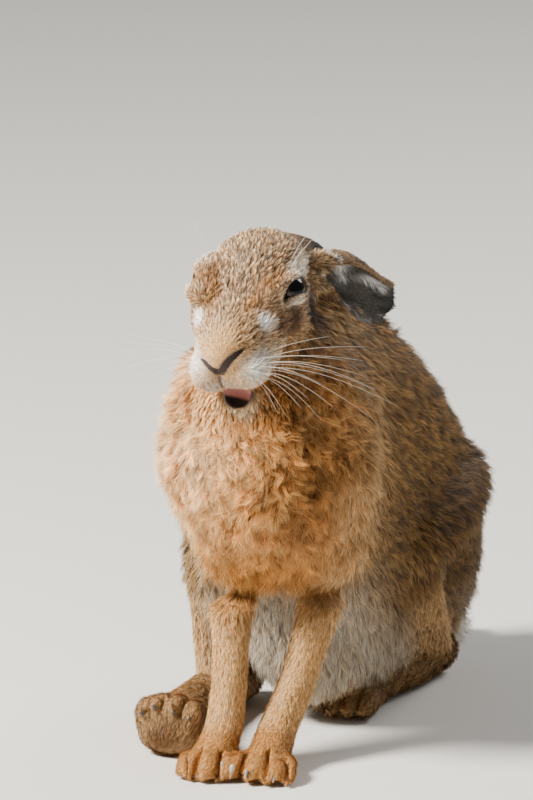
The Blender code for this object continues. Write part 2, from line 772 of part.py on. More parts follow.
def settle():
    """Puts the middle of the whole model's floor print at the origin."""
    nodes = [o for o in bpy.context.scene.objects if o.type == "MESH"]
    corners = [v.co for o in nodes for v in o.data.vertices]
    low = Vector([min(c[k] for c in corners) for k in range(3)])
    high = Vector([max(c[k] for c in corners) for k in range(3)])
    shift = Matrix.Translation(-Vector(((low.x + high.x) / 2, (low.y + high.y) / 2, low.z)))
    for node in nodes:
        node.data.transform(shift)


def main():
    clear_scene()
    hare = thinned(softened_body(whole_form()))
    floor = block((0, 150, FLOOR_FLAT - 50), (600, 800, 100))
    combine(hare, floor, "DIFFERENCE")
    bpy.data.objects.remove(floor)
    add_face(hare)
    ears = [
        ear(LEFT_EAR, LEFT_EAR_OPEN, "ear_left"),
        ear(RIGHT_EAR, RIGHT_EAR_OPEN, "ear_right"),
    ]
    triangulate(hare)
    wider = grown(hare, GAP)
    for shell in ears:
        combine(shell, wider, "DIFFERENCE")
        painted(keep_largest(shell), FUR)
    bpy.data.objects.remove(wider)
    bm = bmesh.new()
    bm.from_mesh(hare.data)
    tree = BVHTree.FromBMesh(bm)
    bm.free()
    split_whole(hare)
    add_claws()
    add_locks("chest", chest_locks(tree), ("foreleg_left", "foreleg_right", "neck", "torso", "head", "shank_right"))
    painted(eye(1, "eye_left"), (0.05, 0.03, 0.02), 0.1)
    painted(eye(-1, "eye_right"), (0.05, 0.03, 0.02), 0.1)
    settle()


main()
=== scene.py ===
import math

import bpy
import numpy as np
from mathutils import Matrix, Vector
from mathutils.bvhtree import BVHTree
from mathutils.kdtree import KDTree


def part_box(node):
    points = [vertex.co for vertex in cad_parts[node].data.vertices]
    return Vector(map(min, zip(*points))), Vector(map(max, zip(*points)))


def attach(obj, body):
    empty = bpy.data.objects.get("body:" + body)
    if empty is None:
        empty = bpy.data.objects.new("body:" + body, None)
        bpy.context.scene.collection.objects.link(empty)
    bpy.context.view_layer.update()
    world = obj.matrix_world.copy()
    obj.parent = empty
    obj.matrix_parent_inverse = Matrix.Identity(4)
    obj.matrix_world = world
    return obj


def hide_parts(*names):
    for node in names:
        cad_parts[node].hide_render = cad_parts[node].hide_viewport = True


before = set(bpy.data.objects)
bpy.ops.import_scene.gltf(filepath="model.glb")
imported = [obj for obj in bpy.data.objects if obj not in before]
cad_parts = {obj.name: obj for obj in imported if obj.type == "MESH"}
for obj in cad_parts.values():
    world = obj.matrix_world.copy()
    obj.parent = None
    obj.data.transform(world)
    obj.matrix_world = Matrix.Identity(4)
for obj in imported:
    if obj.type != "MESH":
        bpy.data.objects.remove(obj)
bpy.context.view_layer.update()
rng = np.random.default_rng(11)
mm = 0.001

# All places below are in millimetres in the hare's own axes: x to its left, y back from the front paws, z up.
headShape = {
    "noseTip": (1, -29, 265),
    "pitch": 17,  # degrees that the nose points below level
    "yaw": 2,
    "eyePlace": (25.8, 61.8, 18.6),  # from the nose tip, in the head's own axes
    "eyeLook": (0.86, -0.45, 0.24),
    "eyeSlant": -5,  # degrees that the gap between the lids is turned
}

headTurn = np.array(
    Matrix.Rotation(math.radians(headShape["yaw"]), 3, "Z")
    @ Matrix.Rotation(math.radians(headShape["pitch"]), 3, "X")
)
noseTip = np.array(headShape["noseTip"], float)


def fromHead(points):
    return np.asarray(points, float) @ headTurn.T + noseTip


def toHead(points):
    return (points - noseTip) @ headTurn


eyeLow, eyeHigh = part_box("eye_left")
packShift = fromHead([headShape["eyePlace"]])[0] - np.array((eyeLow + eyeHigh) / 2) / mm  # own axes less packed axes


def toScene(points):
    return (np.asarray(points, float) - packShift) * mm


# sRGB hex to linear
def linear(hexColour):
    value = [int(hexColour[k : k + 2], 16) / 255 for k in (1, 3, 5)]
    return np.array([c / 12.92 if c <= 0.04045 else ((c + 0.055) / 1.055) ** 2.4 for c in value])


def blend(start, end, share):
    return start + (end - start) * share


def deselectAll():
    if bpy.context.object and bpy.context.object.mode != "OBJECT":
        bpy.ops.object.mode_set(mode="OBJECT")
    bpy.ops.object.select_all(action="DESELECT")


def makeActive(obj):
    deselectAll()
    obj.select_set(True)
    bpy.context.view_layer.objects.active = obj


def applyModifier(obj, kind, **settings):
    makeActive(obj)
    modifier = obj.modifiers.new(kind.lower(), kind)
    for key, value in settings.items():
        setattr(modifier, key, value)
    bpy.ops.object.modifier_apply(modifier=modifier.name)


def joinAll(objects):
    deselectAll()
    for obj in objects:
        obj.select_set(True)
    bpy.context.view_layer.objects.active = objects[0]
    bpy.ops.object.join()
    return objects[0]


# turns the active object's faces outward
def faceOutward():
    bpy.ops.object.mode_set(mode="EDIT")
    bpy.ops.mesh.select_all(action="SELECT")
    bpy.ops.mesh.normals_make_consistent(inside=False)
    bpy.ops.object.mode_set(mode="OBJECT")


def vectorsOf(items, key):
    found = np.empty(len(items) * 3, np.float32)
    items.foreach_get(key, found)
    return found.reshape(-1, 3)


def pointsOf(obj):
    return vectorsOf(obj.data.vertices, "co").astype(float) / mm + packShift


def setPoints(obj, points):
    obj.data.vertices.foreach_set("co", toScene(points).astype(np.float32).ravel())
    obj.data.update()


def normalsOf(obj):
    return vectorsOf(obj.data.vertex_normals, "vector").astype(float)


def setGroup(obj, name, weights):
    group = obj.vertex_groups.new(name=name)
    steps = np.round(np.clip(weights, 0, 1) * 20).astype(int)
    for step in range(1, 21):
        group.add(np.flatnonzero(steps == step).tolist(), step / 20, "REPLACE")


def unit(vectors):
    return vectors / np.maximum(np.linalg.norm(vectors, axis=-1, keepdims=True), 1e-9)


def ramp(value, low, high):
    t = np.clip((value - low) / (high - low), 0, 1)
    return t * t * (3 - 2 * t)


# smooth noise from -1 to 1 that changes over about size millimetres
def wander(points, size, seed):
    waves = np.random.default_rng(seed)
    total = np.zeros(len(points))
    for _ in range(7):
        way = unit(waves.normal(size=3)) * waves.uniform(0.7, 1.6) * 2 * math.pi / (size * 2.2)
        total += np.sin(points @ way + waves.uniform(0, 2 * math.pi))
    return total / 3.2


# faces is a list of index arrays, each of one face size
def meshFrom(name, points, faces):
    mesh = bpy.data.meshes.new(name)
    counts = np.concatenate([np.full(len(f), f.shape[1]) for f in faces])
    corners = np.concatenate([f.ravel() for f in faces])
    mesh.vertices.add(len(points))
    mesh.vertices.foreach_set("co", toScene(points).astype(np.float32).ravel())
    mesh.loops.add(len(corners))
    mesh.loops.foreach_set("vertex_index", corners.astype(np.int32))
    mesh.polygons.add(len(counts))
    mesh.polygons.foreach_set("loop_start", np.concatenate([[0], np.cumsum(counts)[:-1]]).astype(np.int32))
    mesh.polygons.foreach_set("use_smooth", np.full(len(counts), True))
    mesh.update(calc_edges=True)
    obj = bpy.data.objects.new(name, mesh)
    bpy.context.scene.collection.objects.link(obj)
    return obj


def setColours(obj, name, colours):
    layer = obj.data.color_attributes.new(name, "FLOAT_COLOR", "POINT")
    full = np.ones((len(colours), 4), np.float32)
    full[:, :3] = colours
    layer.data.foreach_set("color", full.ravel())


# Catmull-Rom points through rows of numbers
def smoothPath(rows, steps):
    rows = np.asarray(rows, float)
    rows = np.vstack([rows[0] * 2 - rows[1], rows, rows[-1] * 2 - rows[-2]])
    found = []
    for a, b, c, d in zip(rows, rows[1:], rows[2:], rows[3:]):
        for t in np.arange(steps) / steps:
            found.append(
                0.5 * (2 * b + (c - a) * t + (2 * a - 5 * b + 4 * c - d) * t**2 + (3 * b - a - 3 * c + d) * t**3)
            )
    return np.array(found + [rows[-2]])


# rings of equal length joined in order, each ring closed
def loftRings(name, rings, closeEnds=False):
    count = len(rings[0])
    points = np.concatenate(rings)
    k = np.arange(count)
    quads = []
    for r in range(len(rings) - 1):
        a, b = r * count, (r + 1) * count
        quads.append(np.stack([a + k, a + (k + 1) % count, b + (k + 1) % count, b + k], 1))
    faces = [np.concatenate(quads)]
    if closeEnds:
        points = np.vstack([points, rings[0].mean(0), rings[-1].mean(0)])
        low, high, last = len(points) - 2, len(points) - 1, (len(rings) - 1) * count
        faces.append(np.stack([(k + 1) % count, k, np.full(count, low)], 1))
        faces.append(np.stack([last + k, last + (k + 1) % count, np.full(count, high)], 1))
    return meshFrom(name, points, faces)


# a shader node with its settings, and its inputs set or linked by name
def addNode(tree, kind, settings=None, **links):
    node = tree.nodes.new(kind)
    for key, value in (settings or {}).items():
        setattr(node, key, value)
    for key, value in links.items():
        byNumber = key[0] == "i" and key[1:].isdigit()
        socket = node.inputs[int(key[1:]) if byNumber else key.replace("_", " ")]
        if isinstance(value, bpy.types.NodeSocket):
            tree.links.new(value, socket)
        else:
            socket.default_value = value
    return node


def newMaterial(name, **shaderSettings):
    material = bpy.data.materials.new(name)
    material.use_nodes = True
    tree = material.node_tree
    shader = tree.nodes["Principled BSDF"]
    for key, value in shaderSettings.items():
        shader.inputs[key.replace("_", " ")].default_value = value
    return material, tree, shader


# base colour painted on the mesh
def colourBy(tree, shader, name):
    colour = addNode(tree, "ShaderNodeAttribute", {"attribute_name": name})
    tree.links.new(colour.outputs["Color"], shader.inputs["Base Color"])


def addGrain(tree, scale, detail=2.0):
    where = addNode(tree, "ShaderNodeTexCoord")
    return addNode(tree, "ShaderNodeTexNoise", Vector=where.outputs["Object"], Scale=scale, Detail=detail)


def bumpBy(tree, shader, grain, strength, distance):
    bump = addNode(tree, "ShaderNodeBump", Strength=strength, Distance=distance, Height=grain.outputs["Fac"])
    tree.links.new(bump.outputs["Normal"], shader.inputs["Normal"])


# a colour that grain makes a little darker or lighter from place to place
def varyColour(tree, shader, colour, grain, low, high):
    shade = addNode(tree, "ShaderNodeMapRange", Value=grain.outputs["Fac"], To_Min=low, To_Max=high)
    mixed = addNode(
        tree, "ShaderNodeVectorMath", {"operation": "SCALE"}, i0=colour, Scale=shade.outputs["Result"]
    )
    tree.links.new(mixed.outputs["Vector"], shader.inputs["Base Color"])


def finishPiece(obj, material, slot, *nodes):
    obj.data.materials.clear()
    obj.data.materials.append(material)
    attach(obj, "root")
    if nodes:
        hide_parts(*nodes)


stage = {
    "azimuth": 20,  # degrees, where the camera stands to the hare's left of straight ahead
    "elevation": 14,
    "distance": 6.2,
    "pixelsPerMetre": 1600,
    "frameSize": (533, 800),
    "pawPixel": (237, 765),  # where the point between the front paws lands in that frame
    "sensor": 36,
    "aim": (0, 0, 0.15),
    "floorColour": "#d9d7d2",
    "skyColour": (0.9, 0.92, 0.95, 1),
    "skyStrength": 0.2,
    # place, size, watts, tint, seen in the eyes
    "lamps": (
        ((-1.25, -1.15, 1.75), 0.7, 196, (1.0, 0.95, 0.87), True),  # key, high on the camera's left
        ((1.7, -1.5, 0.9), 1.6, 4, (0.95, 0.97, 1.0), False),  # fill, kept out of the eyes
        ((0.9, 1.6, 1.5), 1.2, 34, (1.0, 0.98, 0.95), True),  # rim from behind
    ),
}


def buildStage():
    a, e = math.radians(stage["azimuth"]), math.radians(stage["elevation"])
    right = Vector((math.cos(a), math.sin(a), 0))
    up = Vector((-math.sin(a) * math.sin(e), math.cos(a) * math.sin(e), math.cos(e)))
    back = Vector((math.sin(a) * math.cos(e), -math.cos(a) * math.cos(e), math.sin(e)))
    between = Vector(toScene([(0, 0, 0)])[0])
    u, v = stage["pawPixel"]
    wide, high = stage["frameSize"]
    aim = Vector(stage["aim"])
    target = between + (right * (wide / 2 - u) + up * (v - high / 2)) / stage["pixelsPerMetre"]
    target += back * back.dot(aim - target)  # slid along the view until it is level with the hare
    bpy.ops.object.camera_add(location=target + back * stage["distance"])
    camera = bpy.context.object
    camera.rotation_mode = "QUATERNION"
    camera.rotation_quaternion = back.to_track_quat("Z", "Y")
    camera.data.sensor_width = stage["sensor"]
    camera.data.lens = stage["sensor"] * stage["distance"] * stage["pixelsPerMetre"] / high
    camera.data.clip_end = 100
    bpy.context.scene.camera = camera
    for place, size, power, hue, mirrored in stage["lamps"]:
        bpy.ops.object.light_add(type="AREA", location=place)
        lamp = bpy.context.object
        lamp.data.shape = "DISK"
        lamp.visible_glossy = mirrored
        lamp.data.size, lamp.data.energy, lamp.data.color = size, power, hue
        lamp.rotation_euler = (aim - Vector(place)).to_track_quat("-Z", "Y").to_euler()
    world = bpy.data.worlds.new("studio")
    world.use_nodes = True
    sky = world.node_tree.nodes["Background"]
    sky.inputs["Color"].default_value, sky.inputs["Strength"].default_value = stage["skyColour"], stage["skyStrength"]
    bpy.context.scene.world = world
    bpy.ops.mesh.primitive_plane_add(size=14)
    floor = bpy.context.object
    floor.name = "studio_floor"
    material, tree, shader = newMaterial("matte painted board", Roughness=0.9)  # pale and even, hardly any gloss
    grain = addNode(tree, "ShaderNodeTexNoise", Scale=900.0)
    bumpBy(tree, shader, grain, 0.05, 0.0004)
    shader.inputs["Base Color"].default_value = (*linear(stage["floorColour"]), 1)
    floor.data.materials.append(material)


buildStage()
print("camera, light and floor placed")

# Kinds of coat, in millimetres: how deep it stands on the skin, hair length and width, hairs per square mm,
# how far it waves, how much tufts gather, hairs in a tuft, how much colour the roots have, and steps along one hair.
# the roots' darkening is partly the underfur's own colour, partly painted shade between the tufts
fieldNames = ("depth", "length", "width", "density", "wave", "gather", "tuft", "root")
coatKinds = {
    name: dict(zip((*fieldNames, "steps"), row))
    for name, row in {
        "muzzle": (0.6, 2.6, 0.2, 6.5, 0.0, 0.25, 5, 0.6, 2),
        "face": (1.0, 4.6, 0.23, 5.2, 0.2, 0.6, 7, 0.25, 2),
        "crown": (1.4, 6.2, 0.27, 4.6, 0.25, 0.65, 7, 0.25, 2),
        "neck": (4.5, 12.0, 0.36, 1.7, 0.8, 0.7, 8, 0.3, 2),
        "chest": (8.0, 17.0, 0.23, 3.5, 3.4, 0.66, 11, 0.42, 3),
        "body": (5.5, 14.0, 0.38, 1.22, 1.1, 0.5, 8, 0.3, 2),
        "belly": (5.5, 13.0, 0.42, 1.0, 0.8, 0.3, 6, 0.8, 2),
        "elbow": (4.0, 13.0, 0.32, 2.0, 1.6, 0.5, 8, 0.65, 2),
        "leg": (0.9, 4.4, 0.23, 2.35, 0.1, 0.2, 5, 0.7, 2),
        "hind": (1.3, 6.0, 0.34, 1.25, 0.3, 0.3, 6, 0.55, 2),
        "paw": (0.8, 3.4, 0.21, 3.6, 0.1, 0.25, 5, 0.6, 2),
        "sole": (1.2, 4.6, 0.27, 2.0, 0.2, 0.3, 5, 0.55, 2),
        "tail": (6.0, 18.0, 0.5, 0.95, 1.2, 0.5, 9, 0.75, 3),
        "ear": (0.35, 4.0, 0.3, 2.5, 0.05, 0.35, 7, 0.5, 2),
    }.items()
}

# The body as soft bones, each with its kind of coat, a line of centre points with radii, where hair points,
# the share of the line's own run in that, a hair's colours halfway and at its end, and the share with dark ends.
headBones = ("muzzle", "face", "crown", "jaw")
bones = {
    name: dict(zip(("kind", "line", "way", "run", "mid", "tip", "dark"), row), head=name in headBones)
    for name, row in {
        "muzzle": ("muzzle", ((0, -8, -4, 14), (0, 16, -6, 22)),
            (0, 0.3, -0.35), 1.0, "#c69d72", "#ecd5b4", 0.06),
        "face": ("face", ((0, 30, -2, 28), (0, 62, 2, 32)), (0, 0, -0.2), 1.0, "#a27246", "#f8e5c6", 0.5),
        "crown": ("crown", ((0, 60, 16, 26), (0, 100, 12, 28)), (0, 0, -0.15), 1.0, "#a17146", "#f9e7c9", 0.58),
        "jaw": ("face", ((2, 14, -30, 12), (3, 62, -26, 14)), (0, 0.4, -0.6), 1.0, "#cdb28c", "#f0e2ca", 0.08),
        "neck": ("neck", ((1, 70, 262, 44), (4, 100, 244, 50)), (0, 0.45, -1), 0, "#8f6945", "#dcbb90", 0.34),
        "throat": ("chest", ((0, 28, 240, 34), (1, 24, 222, 42)), (0, -0.1, -1), 0, "#b87c48", "#eed0a6", 0.08),
        "chest": ("chest", ((2, 22, 215, 52), (2, 14, 150, 46)), (0, -0.1, -1), 0, "#a9622b", "#eec28a", 0.12),
        "shoulder_left": ("body", ((42, 76, 212, 34), (46, 66, 150, 32)),
            (0, 0.35, -1), 0, "#8a6642", "#c9a97f", 0.32),
        "shoulder_right": ("body", ((-38, 70, 212, 34), (-32, 56, 150, 32)),
            (0, 0.35, -1), 0, "#86643f", "#d0ad7f", 0.38),
        "back": ("body", ((6, 118, 200, 70), (10, 160, 165, 80), (15, 215, 130, 80), (19, 268, 88, 58)),
            (0, 0, -0.35), 1.0, "#70512f", "#ac885a", 0.46),
        # the belly's white fur given a dim grey-white: painted shade under the body
        "belly": ("belly", ((4, 92, 100, 38), (6, 150, 40, 44)), (0, 0.15, -1), 0, "#a09484", "#ccc1b0", 0.0),
        "haunch_left": ("body", ((46, 240, 130, 46), (56, 160, 105, 34)),
            (0, 0.5, -0.9), 0, "#5f4325", "#987348", 0.42),
        "haunch_right": ("body", ((-24, 215, 130, 46), (-50, 112, 112, 34)),
            (0, 0.5, -0.9), 0, "#5f4325", "#987348", 0.42),
        "arm_left": ("elbow", ((46, 50, 170, 26), (41, 62, 126, 19)),
            (0, 0, -0.5), 0.6, "#c0905f", "#ecd0a6", 0.05),
        "arm_right": ("elbow", ((-32, 30, 170, 26), (-17, 35, 126, 19)),
            (0, 0, -0.5), 0.6, "#c0905f", "#ecd0a6", 0.05),
        "foreleg_left": ("leg", ((38, 60, 116, 17), (33, 54, 88, 13.5), (27, 38, 52, 12), (20, 19, 24, 12.5)),
            (0, 0, 0), 1.0, "#c4965f", "#f5ddb8", 0.12),
        "foreleg_right": ("leg", ((-15, 33, 116, 17), (-11.5, 23, 88, 13), (-9, 13, 56, 11.5), (-9, 4, 28, 12)),
            (0, 0, 0), 1.0, "#c4965f", "#f5ddb8", 0.12),
        "paw_left": ("paw", ((21, 8, 16, 14), (24, -26, 9, 15)), (0, 0, -0.1), 1.0, "#b67c44", "#edca98", 0.12),
        "paw_right": ("paw", ((-10, -5, 17, 14), (-12, -32, 9, 14)),
            (0, 0, -0.1), 1.0, "#b67c44", "#edca98", 0.12),
        "shank_left": ("hind", ((56, 156, 106, 26), (52, 190, 64, 18), (42, 238, 26, 15)),
            (0, 0, -0.3), 1.0, "#b48b60", "#e0c39a", 0.1),
        "shank_right": ("hind", ((-52, 106, 110, 24), (-55, 114, 76, 18), (-56, 122, 28, 15)),
            (0, 0, -0.3), 1.0, "#b08a60", "#e3cba6", 0.08),
        "foot_left": ("hind", ((42, 250, 15, 16), (31, 188, 15, 17), (24, 134, 10, 26)),
            (0, 0, 0), 1.0, "#97744c", "#caa97c", 0.14),
        "foot_right": ("sole", ((-51, 152, 16, 15), (-54, 75, 18, 16), (-51, 8, 22, 22)),
            (0, 0, -0.6), 1.0, "#a8825a", "#dcc19a", 0.12),
        "tail": ("tail", ((19, 284, 60, 15), (20, 298, 38, 18), (21, 315, 18, 19), (22, 331, 14, 15)),
            (0, 0, 0), 1.0, "#e2ddd4", "#f8f6f1", 0.0),
    }.items()
}

# Each ear is a thin cup along the line of its back: root, middle and tip, and which way the cup opens.
earPlan = {
    "thickness": 2.2,
    # share of the length, cup radius, angles in degrees from the cup's back to its lower and upper edge
    "stations": (
        (0.00, 10.0, 150, 150), (0.14, 12.0, 145, 150), (0.27, 13.5, 122, 148), (0.42, 14.5, 102, 140),
        (0.58, 15.0, 92, 128), (0.74, 15.2, 80, 100), (0.87, 13.8, 64, 66), (0.96, 10.5, 46, 38), (1.00, 6.5, 30, 20),
    ),
    "left": dict(line=((16, 60, 308), (23, 88, 303), (32, 122, 280), (43, 165, 262)), opening=(0.93, -0.29, -0.23)),
    "right": dict(line=((-14, 62, 304), (-8, 88, 304), (-4, 116, 303), (2, 162, 292)), opening=(-0.95, -0.15, -0.25)),
    "outer": "#8a6947", "outerTip": "#bd9a6c", "black": "#15100e", "inner": "#47433e", "innerTip": "#6f6a62",
    "spread": 0.24,  # half the cup's width as a share of the ear's length
    # inside: line of (share of the length, share of the way to the upper edge), reach, colours, extra hair length
    "patches": (
        (((0.05, 0.95), (0.45, 0.82), (0.85, 0.9)), 0.075, "#806a45", "#b79c6c", 1),  # brown rim
        (((0.1, 0.6), (0.5, 0.5), (0.84, 0.62)), 0.022, "#241d1a", "#3b322c", 1),  # dark band under it
        (((0.06, 0.9), (0.28, 0.45), (0.5, 0.08)), 0.046, "#dad7d9", "#ffffff", 5),  # pale hair by the root
        (((0.5, 0.22), (0.63, 0.24)), 0.026, "#6f6a68", "#a7a19f", 3),
        (((0.63, 0.42), (0.72, 0.45), (0.84, 0.46)), 0.034, "#dad7d9", "#ffffff", 5),  # pale hair to the tip
        (((0.78, 0.22), (0.9, 0.08)), 0.036, "#110d0c", "#211a17", 0),  # black before the tip
        (((0.5, -0.98), (0.62, -0.55)), 0.03, "#a8a2b2", "#dcd8e2", 4),  # lilac grey tuft
        (((0.62, -0.95), (0.78, -0.86), (0.9, -0.72)), 0.022, "#77736f", "#a9a5a0", 2),  # thin grey lower rim
        (((0.04, -0.95), (0.25, -0.85), (0.45, -0.8)), 0.05, "#6b5c41", "#978561", 2),  # front flap
    ),
}

# Markings laid over the bones' colours: centre and reach in mm, in the head's own axes or the body's.
markings = (
    # name, head axes, mirrored, centre, reach, hair colour, tip colour, share of dark tips, strength
    ("nose bridge", True, False, (0, 6, 12), (9, 12, 7), "#c89a63", "#eed0a2", 0.08, 0.8),
    ("dark nose top", True, False, (3, 22, 21), (7, 12, 5), "#8d6847", "#c9a780", 0.4, 0.6),
    ("muzzle side", True, True, (19, 8, -6), (9, 14, 9), "#f8f1e4", "#ffffff", 0.04, 0.97),
    ("muzzle back", True, True, (23, 26, -8), (9, 14, 10), "#cdbb9f", "#efe4d0", 0.2, 0.7),
    ("upper lip", True, True, (8, 2, -19), (10, 7, 5.5), "#a29a94", "#cfc9c3", 0.12, 0.85),
    ("chin", True, False, (3, 13, -36), (13, 15, 6.5), "#dcc7a4", "#f4e8d0", 0.0, 0.9),
    ("white spot", True, True, (20.4, 26.5, 12), (4.2, 5.8, 6.2), "#f8f5f1", "#ffffff", 0.08, 1.0),
    # painted shadow: a dark line where the muzzle's side turns back into the cheek
    ("painted shadow line behind spot", True, True, (24.5, 35, 9), (4, 3.6, 9), "#4b301e", "#77563a", 0.5, 0.9),
    ("rust before spot", True, True, (13, 34, 24), (6, 13, 6.5), "#84511f", "#c08a4c", 0.45, 0.7),
    # partly the cheek's own brown, partly painted shade that makes it darker
    ("brown cheek with painted shade", True, True, (30, 49, 5), (9, 15, 10), "#3a1c0a", "#5c371b", 0.3, 1.0),
    ("low cheek", True, True, (31, 52, -14), (9, 18, 9), "#8e6b48", "#d0b088", 0.35, 0.75),
    ("rust brow", True, True, (19, 45, 31), (8, 13, 7), "#7d4a1e", "#b47e45", 0.5, 0.75),
    ("cream brow", True, True, (29, 72, 26.5), (6, 17, 6), "#f0e4cf", "#fffaf0", 0.03, 1.0),
    ("cream lid", True, True, (32.5, 52, 16.5), (6, 10, 3.0), "#efe3cf", "#fff8ea", 0.0, 0.95),
    ("eye corner", True, True, (29, 44, 22), (5, 6, 6), "#dcc9ac", "#f3e6cf", 0.1, 0.7),
    # partly dark hair, partly painted shade on the head behind the eye
    ("dark band with painted shade", True, True, (31, 78, -1), (10, 9.5, 19), "#292120", "#4b413d", 0.3, 1.0),
    ("grizzled cheek", True, True, (36, 94, 6), (8, 10, 20), "#6b5a42", "#a8946f", 0.4, 0.8),
    ("sole", False, False, (-53, 4, 18), (20, 12, 15), "#4b2f18", "#7a5532", 0.15, 0.95),
    # painted light: the chest's upper side towards the key lamp made paler and brighter
    ("painted light on chest", False, False, (-26, 8, 205), (30, 34, 46), "#cc9259", "#ffecc8", 0.0, 0.75),
    # painted shade: the chest's side away from the key lamp made darker
    ("painted shade on chest", False, False, (42, 20, 165), (20, 46, 66), "#6d3f1c", "#b5804f", 0.15, 0.75),
    ("chest hem", False, False, (6, 26, 118), (50, 42, 30), "#834e22", "#c68f56", 0.12, 0.8),
    ("tail root", False, False, (20, 292, 62), (9, 13, 15), "#1d1715", "#3a302b", 0.0, 1.0),
    ("tail end", False, False, (21, 315, 38), (9, 14, 19), "#1d1715", "#3a302b", 0.0, 1.0),
    ("shank stripe", False, False, (-50, 100, 86), (9, 18, 34), "#d9c6a8", "#f3e8d4", 0.0, 0.6),
)


# distance in radii from a bone, and the bone's run there
def alongBone(points, line):
    best = np.full(len(points), 1e9)
    run = np.zeros((len(points), 3))
    line = np.asarray(line, float)
    for a, b in zip(line, line[1:]):
        ab = b[:3] - a[:3]
        t = np.clip((points - a[:3]) @ ab / (ab @ ab), 0, 1)
        far = np.linalg.norm(points - (a[:3] + t[:, None] * ab), axis=1) / (a[3] + (b[3] - a[3]) * t)
        closer = far < best
        best[closer] = far[closer]
        run[closer] = ab / np.linalg.norm(ab)
    return best, run


# share of the length, middle, radius, both edges' angles, ways ahead, out and up of a cup at 61 places along the ear
def earFrames(side):
    ear = earPlan[side]
    line = smoothPath(ear["line"], 30)
    stations = smoothPath(earPlan["stations"], 8)
    share = np.clip(np.interp(np.linspace(0, 1, 61), np.linspace(0, 1, len(stations)), stations[:, 0]), 0, 1)
    radius, low, high = (np.interp(share, stations[:, 0], stations[:, k]) for k in (1, 2, 3))
    back = np.stack([np.interp(share, np.linspace(0, 1, len(line)), line[:, k]) for k in range(3)], 1)
    ahead = unit(np.gradient(back, axis=0))
    out = np.array(ear["opening"]) - ahead * (ahead @ np.array(ear["opening"]))[:, None]
    out = unit(out)
    up = np.cross(ahead, out)
    up *= np.where(up[:, 2:] < 0, -1, 1)
    return share, back + out * radius[:, None], radius, np.radians(low), np.radians(high), ahead, out, up


# for each point: how close it is to an ear's wall from 0 to 1, share of the length, share of the way from the
# middle of the cup's back to its edge, 1 if inside the cup, way to the tip
def earPlace(points, normals, side):
    share, middle, radius, low, high, ahead, out, up = earFrames(side)
    close, along, angle, inside = (np.zeros(len(points)) for _ in range(4))
    run = np.zeros((len(points), 3))
    near = np.flatnonzero(np.all((points > middle.min(0) - 24) & (points < middle.max(0) + 24), axis=1))
    for part in np.array_split(near, max(1, len(near) // 20000)):
        off = points[part][:, None] - middle[None]
        best = np.abs((off * ahead[None]).sum(2)).argmin(1) if len(part) else np.zeros(0, int)
        q = off[np.arange(len(part)), best]
        x, z, beyond = (q * -out[best]).sum(1), (q * up[best]).sum(1), np.abs((q * ahead[best]).sum(1))
        r, a = np.hypot(x, z), np.arctan2(z, x)
        wall = np.abs(r - radius[best] + earPlan["thickness"] / 2)
        half = np.where(a < 0, low[best], high[best])
        close[part] = ramp(3.2 - wall, 0, 1.0) * ramp(half + 0.16 - np.abs(a), 0, 0.05) * ramp(3 - beyond, 0, 1)
        along[part], angle[part], run[part] = share[best], a / half, ahead[best]
        radial = (x[:, None] * -out[best] + z[:, None] * up[best]) / np.maximum(r, 1e-6)[:, None]
        inside[part] = ramp(-(normals[part] * radial).sum(1), -0.15, 0.15)
    return close, along, angle, inside, run


def earCloseness(points):
    flat = np.zeros_like(points)
    return np.maximum(earPlace(points, flat, "left")[0], earPlace(points, flat, "right")[0])


# brown outside, dark grey inside under the ear's own patches, black tips
def shadeEars(points, normals, field):
    field["ear"] = np.zeros(len(points))
    for side in ("left", "right"):
        close, along, angle, inside, run = earPlace(points, normals, side)
        share = close * ramp(along, 0.03, 0.14)
        kind = coatKinds["ear"]
        grain = wander(points, 2.4, 41)
        for name in fieldNames:
            field[name] += (kind[name] - field[name]) * share
        field["width"] -= 0.06 * inside * share
        field["density"] *= 1 - 0.45 * inside * share
        spread = (angle + 0.04 * grain) * earPlan["spread"]
        colours = {}
        for name, outer, inner in (("mid", "outer", "inner"), ("tip", "outerTip", "innerTip")):
            colours[name] = blend(linear(earPlan[outer]), linear(earPlan[inner]), inside[:, None])
        dark = 0.3 * (1 - inside)
        length = np.zeros(len(points))
        for line, reach, mid, tip, longer in earPlan["patches"]:
            far = pathDistance(
                np.stack([along + 0.008 * grain, spread], 1), np.array(line, float) * (1, earPlan["spread"])
            )
            patch = inside * ramp(reach - far, -0.004, 0.016)
            for name, value in (("mid", mid), ("tip", tip)):
                colours[name] = blend(colours[name], linear(value), patch[:, None])
            length += (longer - length) * patch
        black = ramp(along + 0.012 * grain, 0.87, 0.91)
        black = np.maximum(black, (1 - inside) * ramp(along + 0.02 * grain, 0.8, 0.9))
        for name in ("mid", "tip"):
            colours[name] = blend(colours[name], linear(earPlan["black"]), black[:, None])
            field[name] = blend(field[name], colours[name], share[:, None])
        field["length"] += length * share
        field["dark"] += (dark * (1 - black) - field["dark"]) * share
        field["flow"] += (run + np.array((0, 0, -0.35)) * (length > 2)[:, None] - field["flow"]) * share[:, None]
        field["ear"] = np.maximum(field["ear"], share)


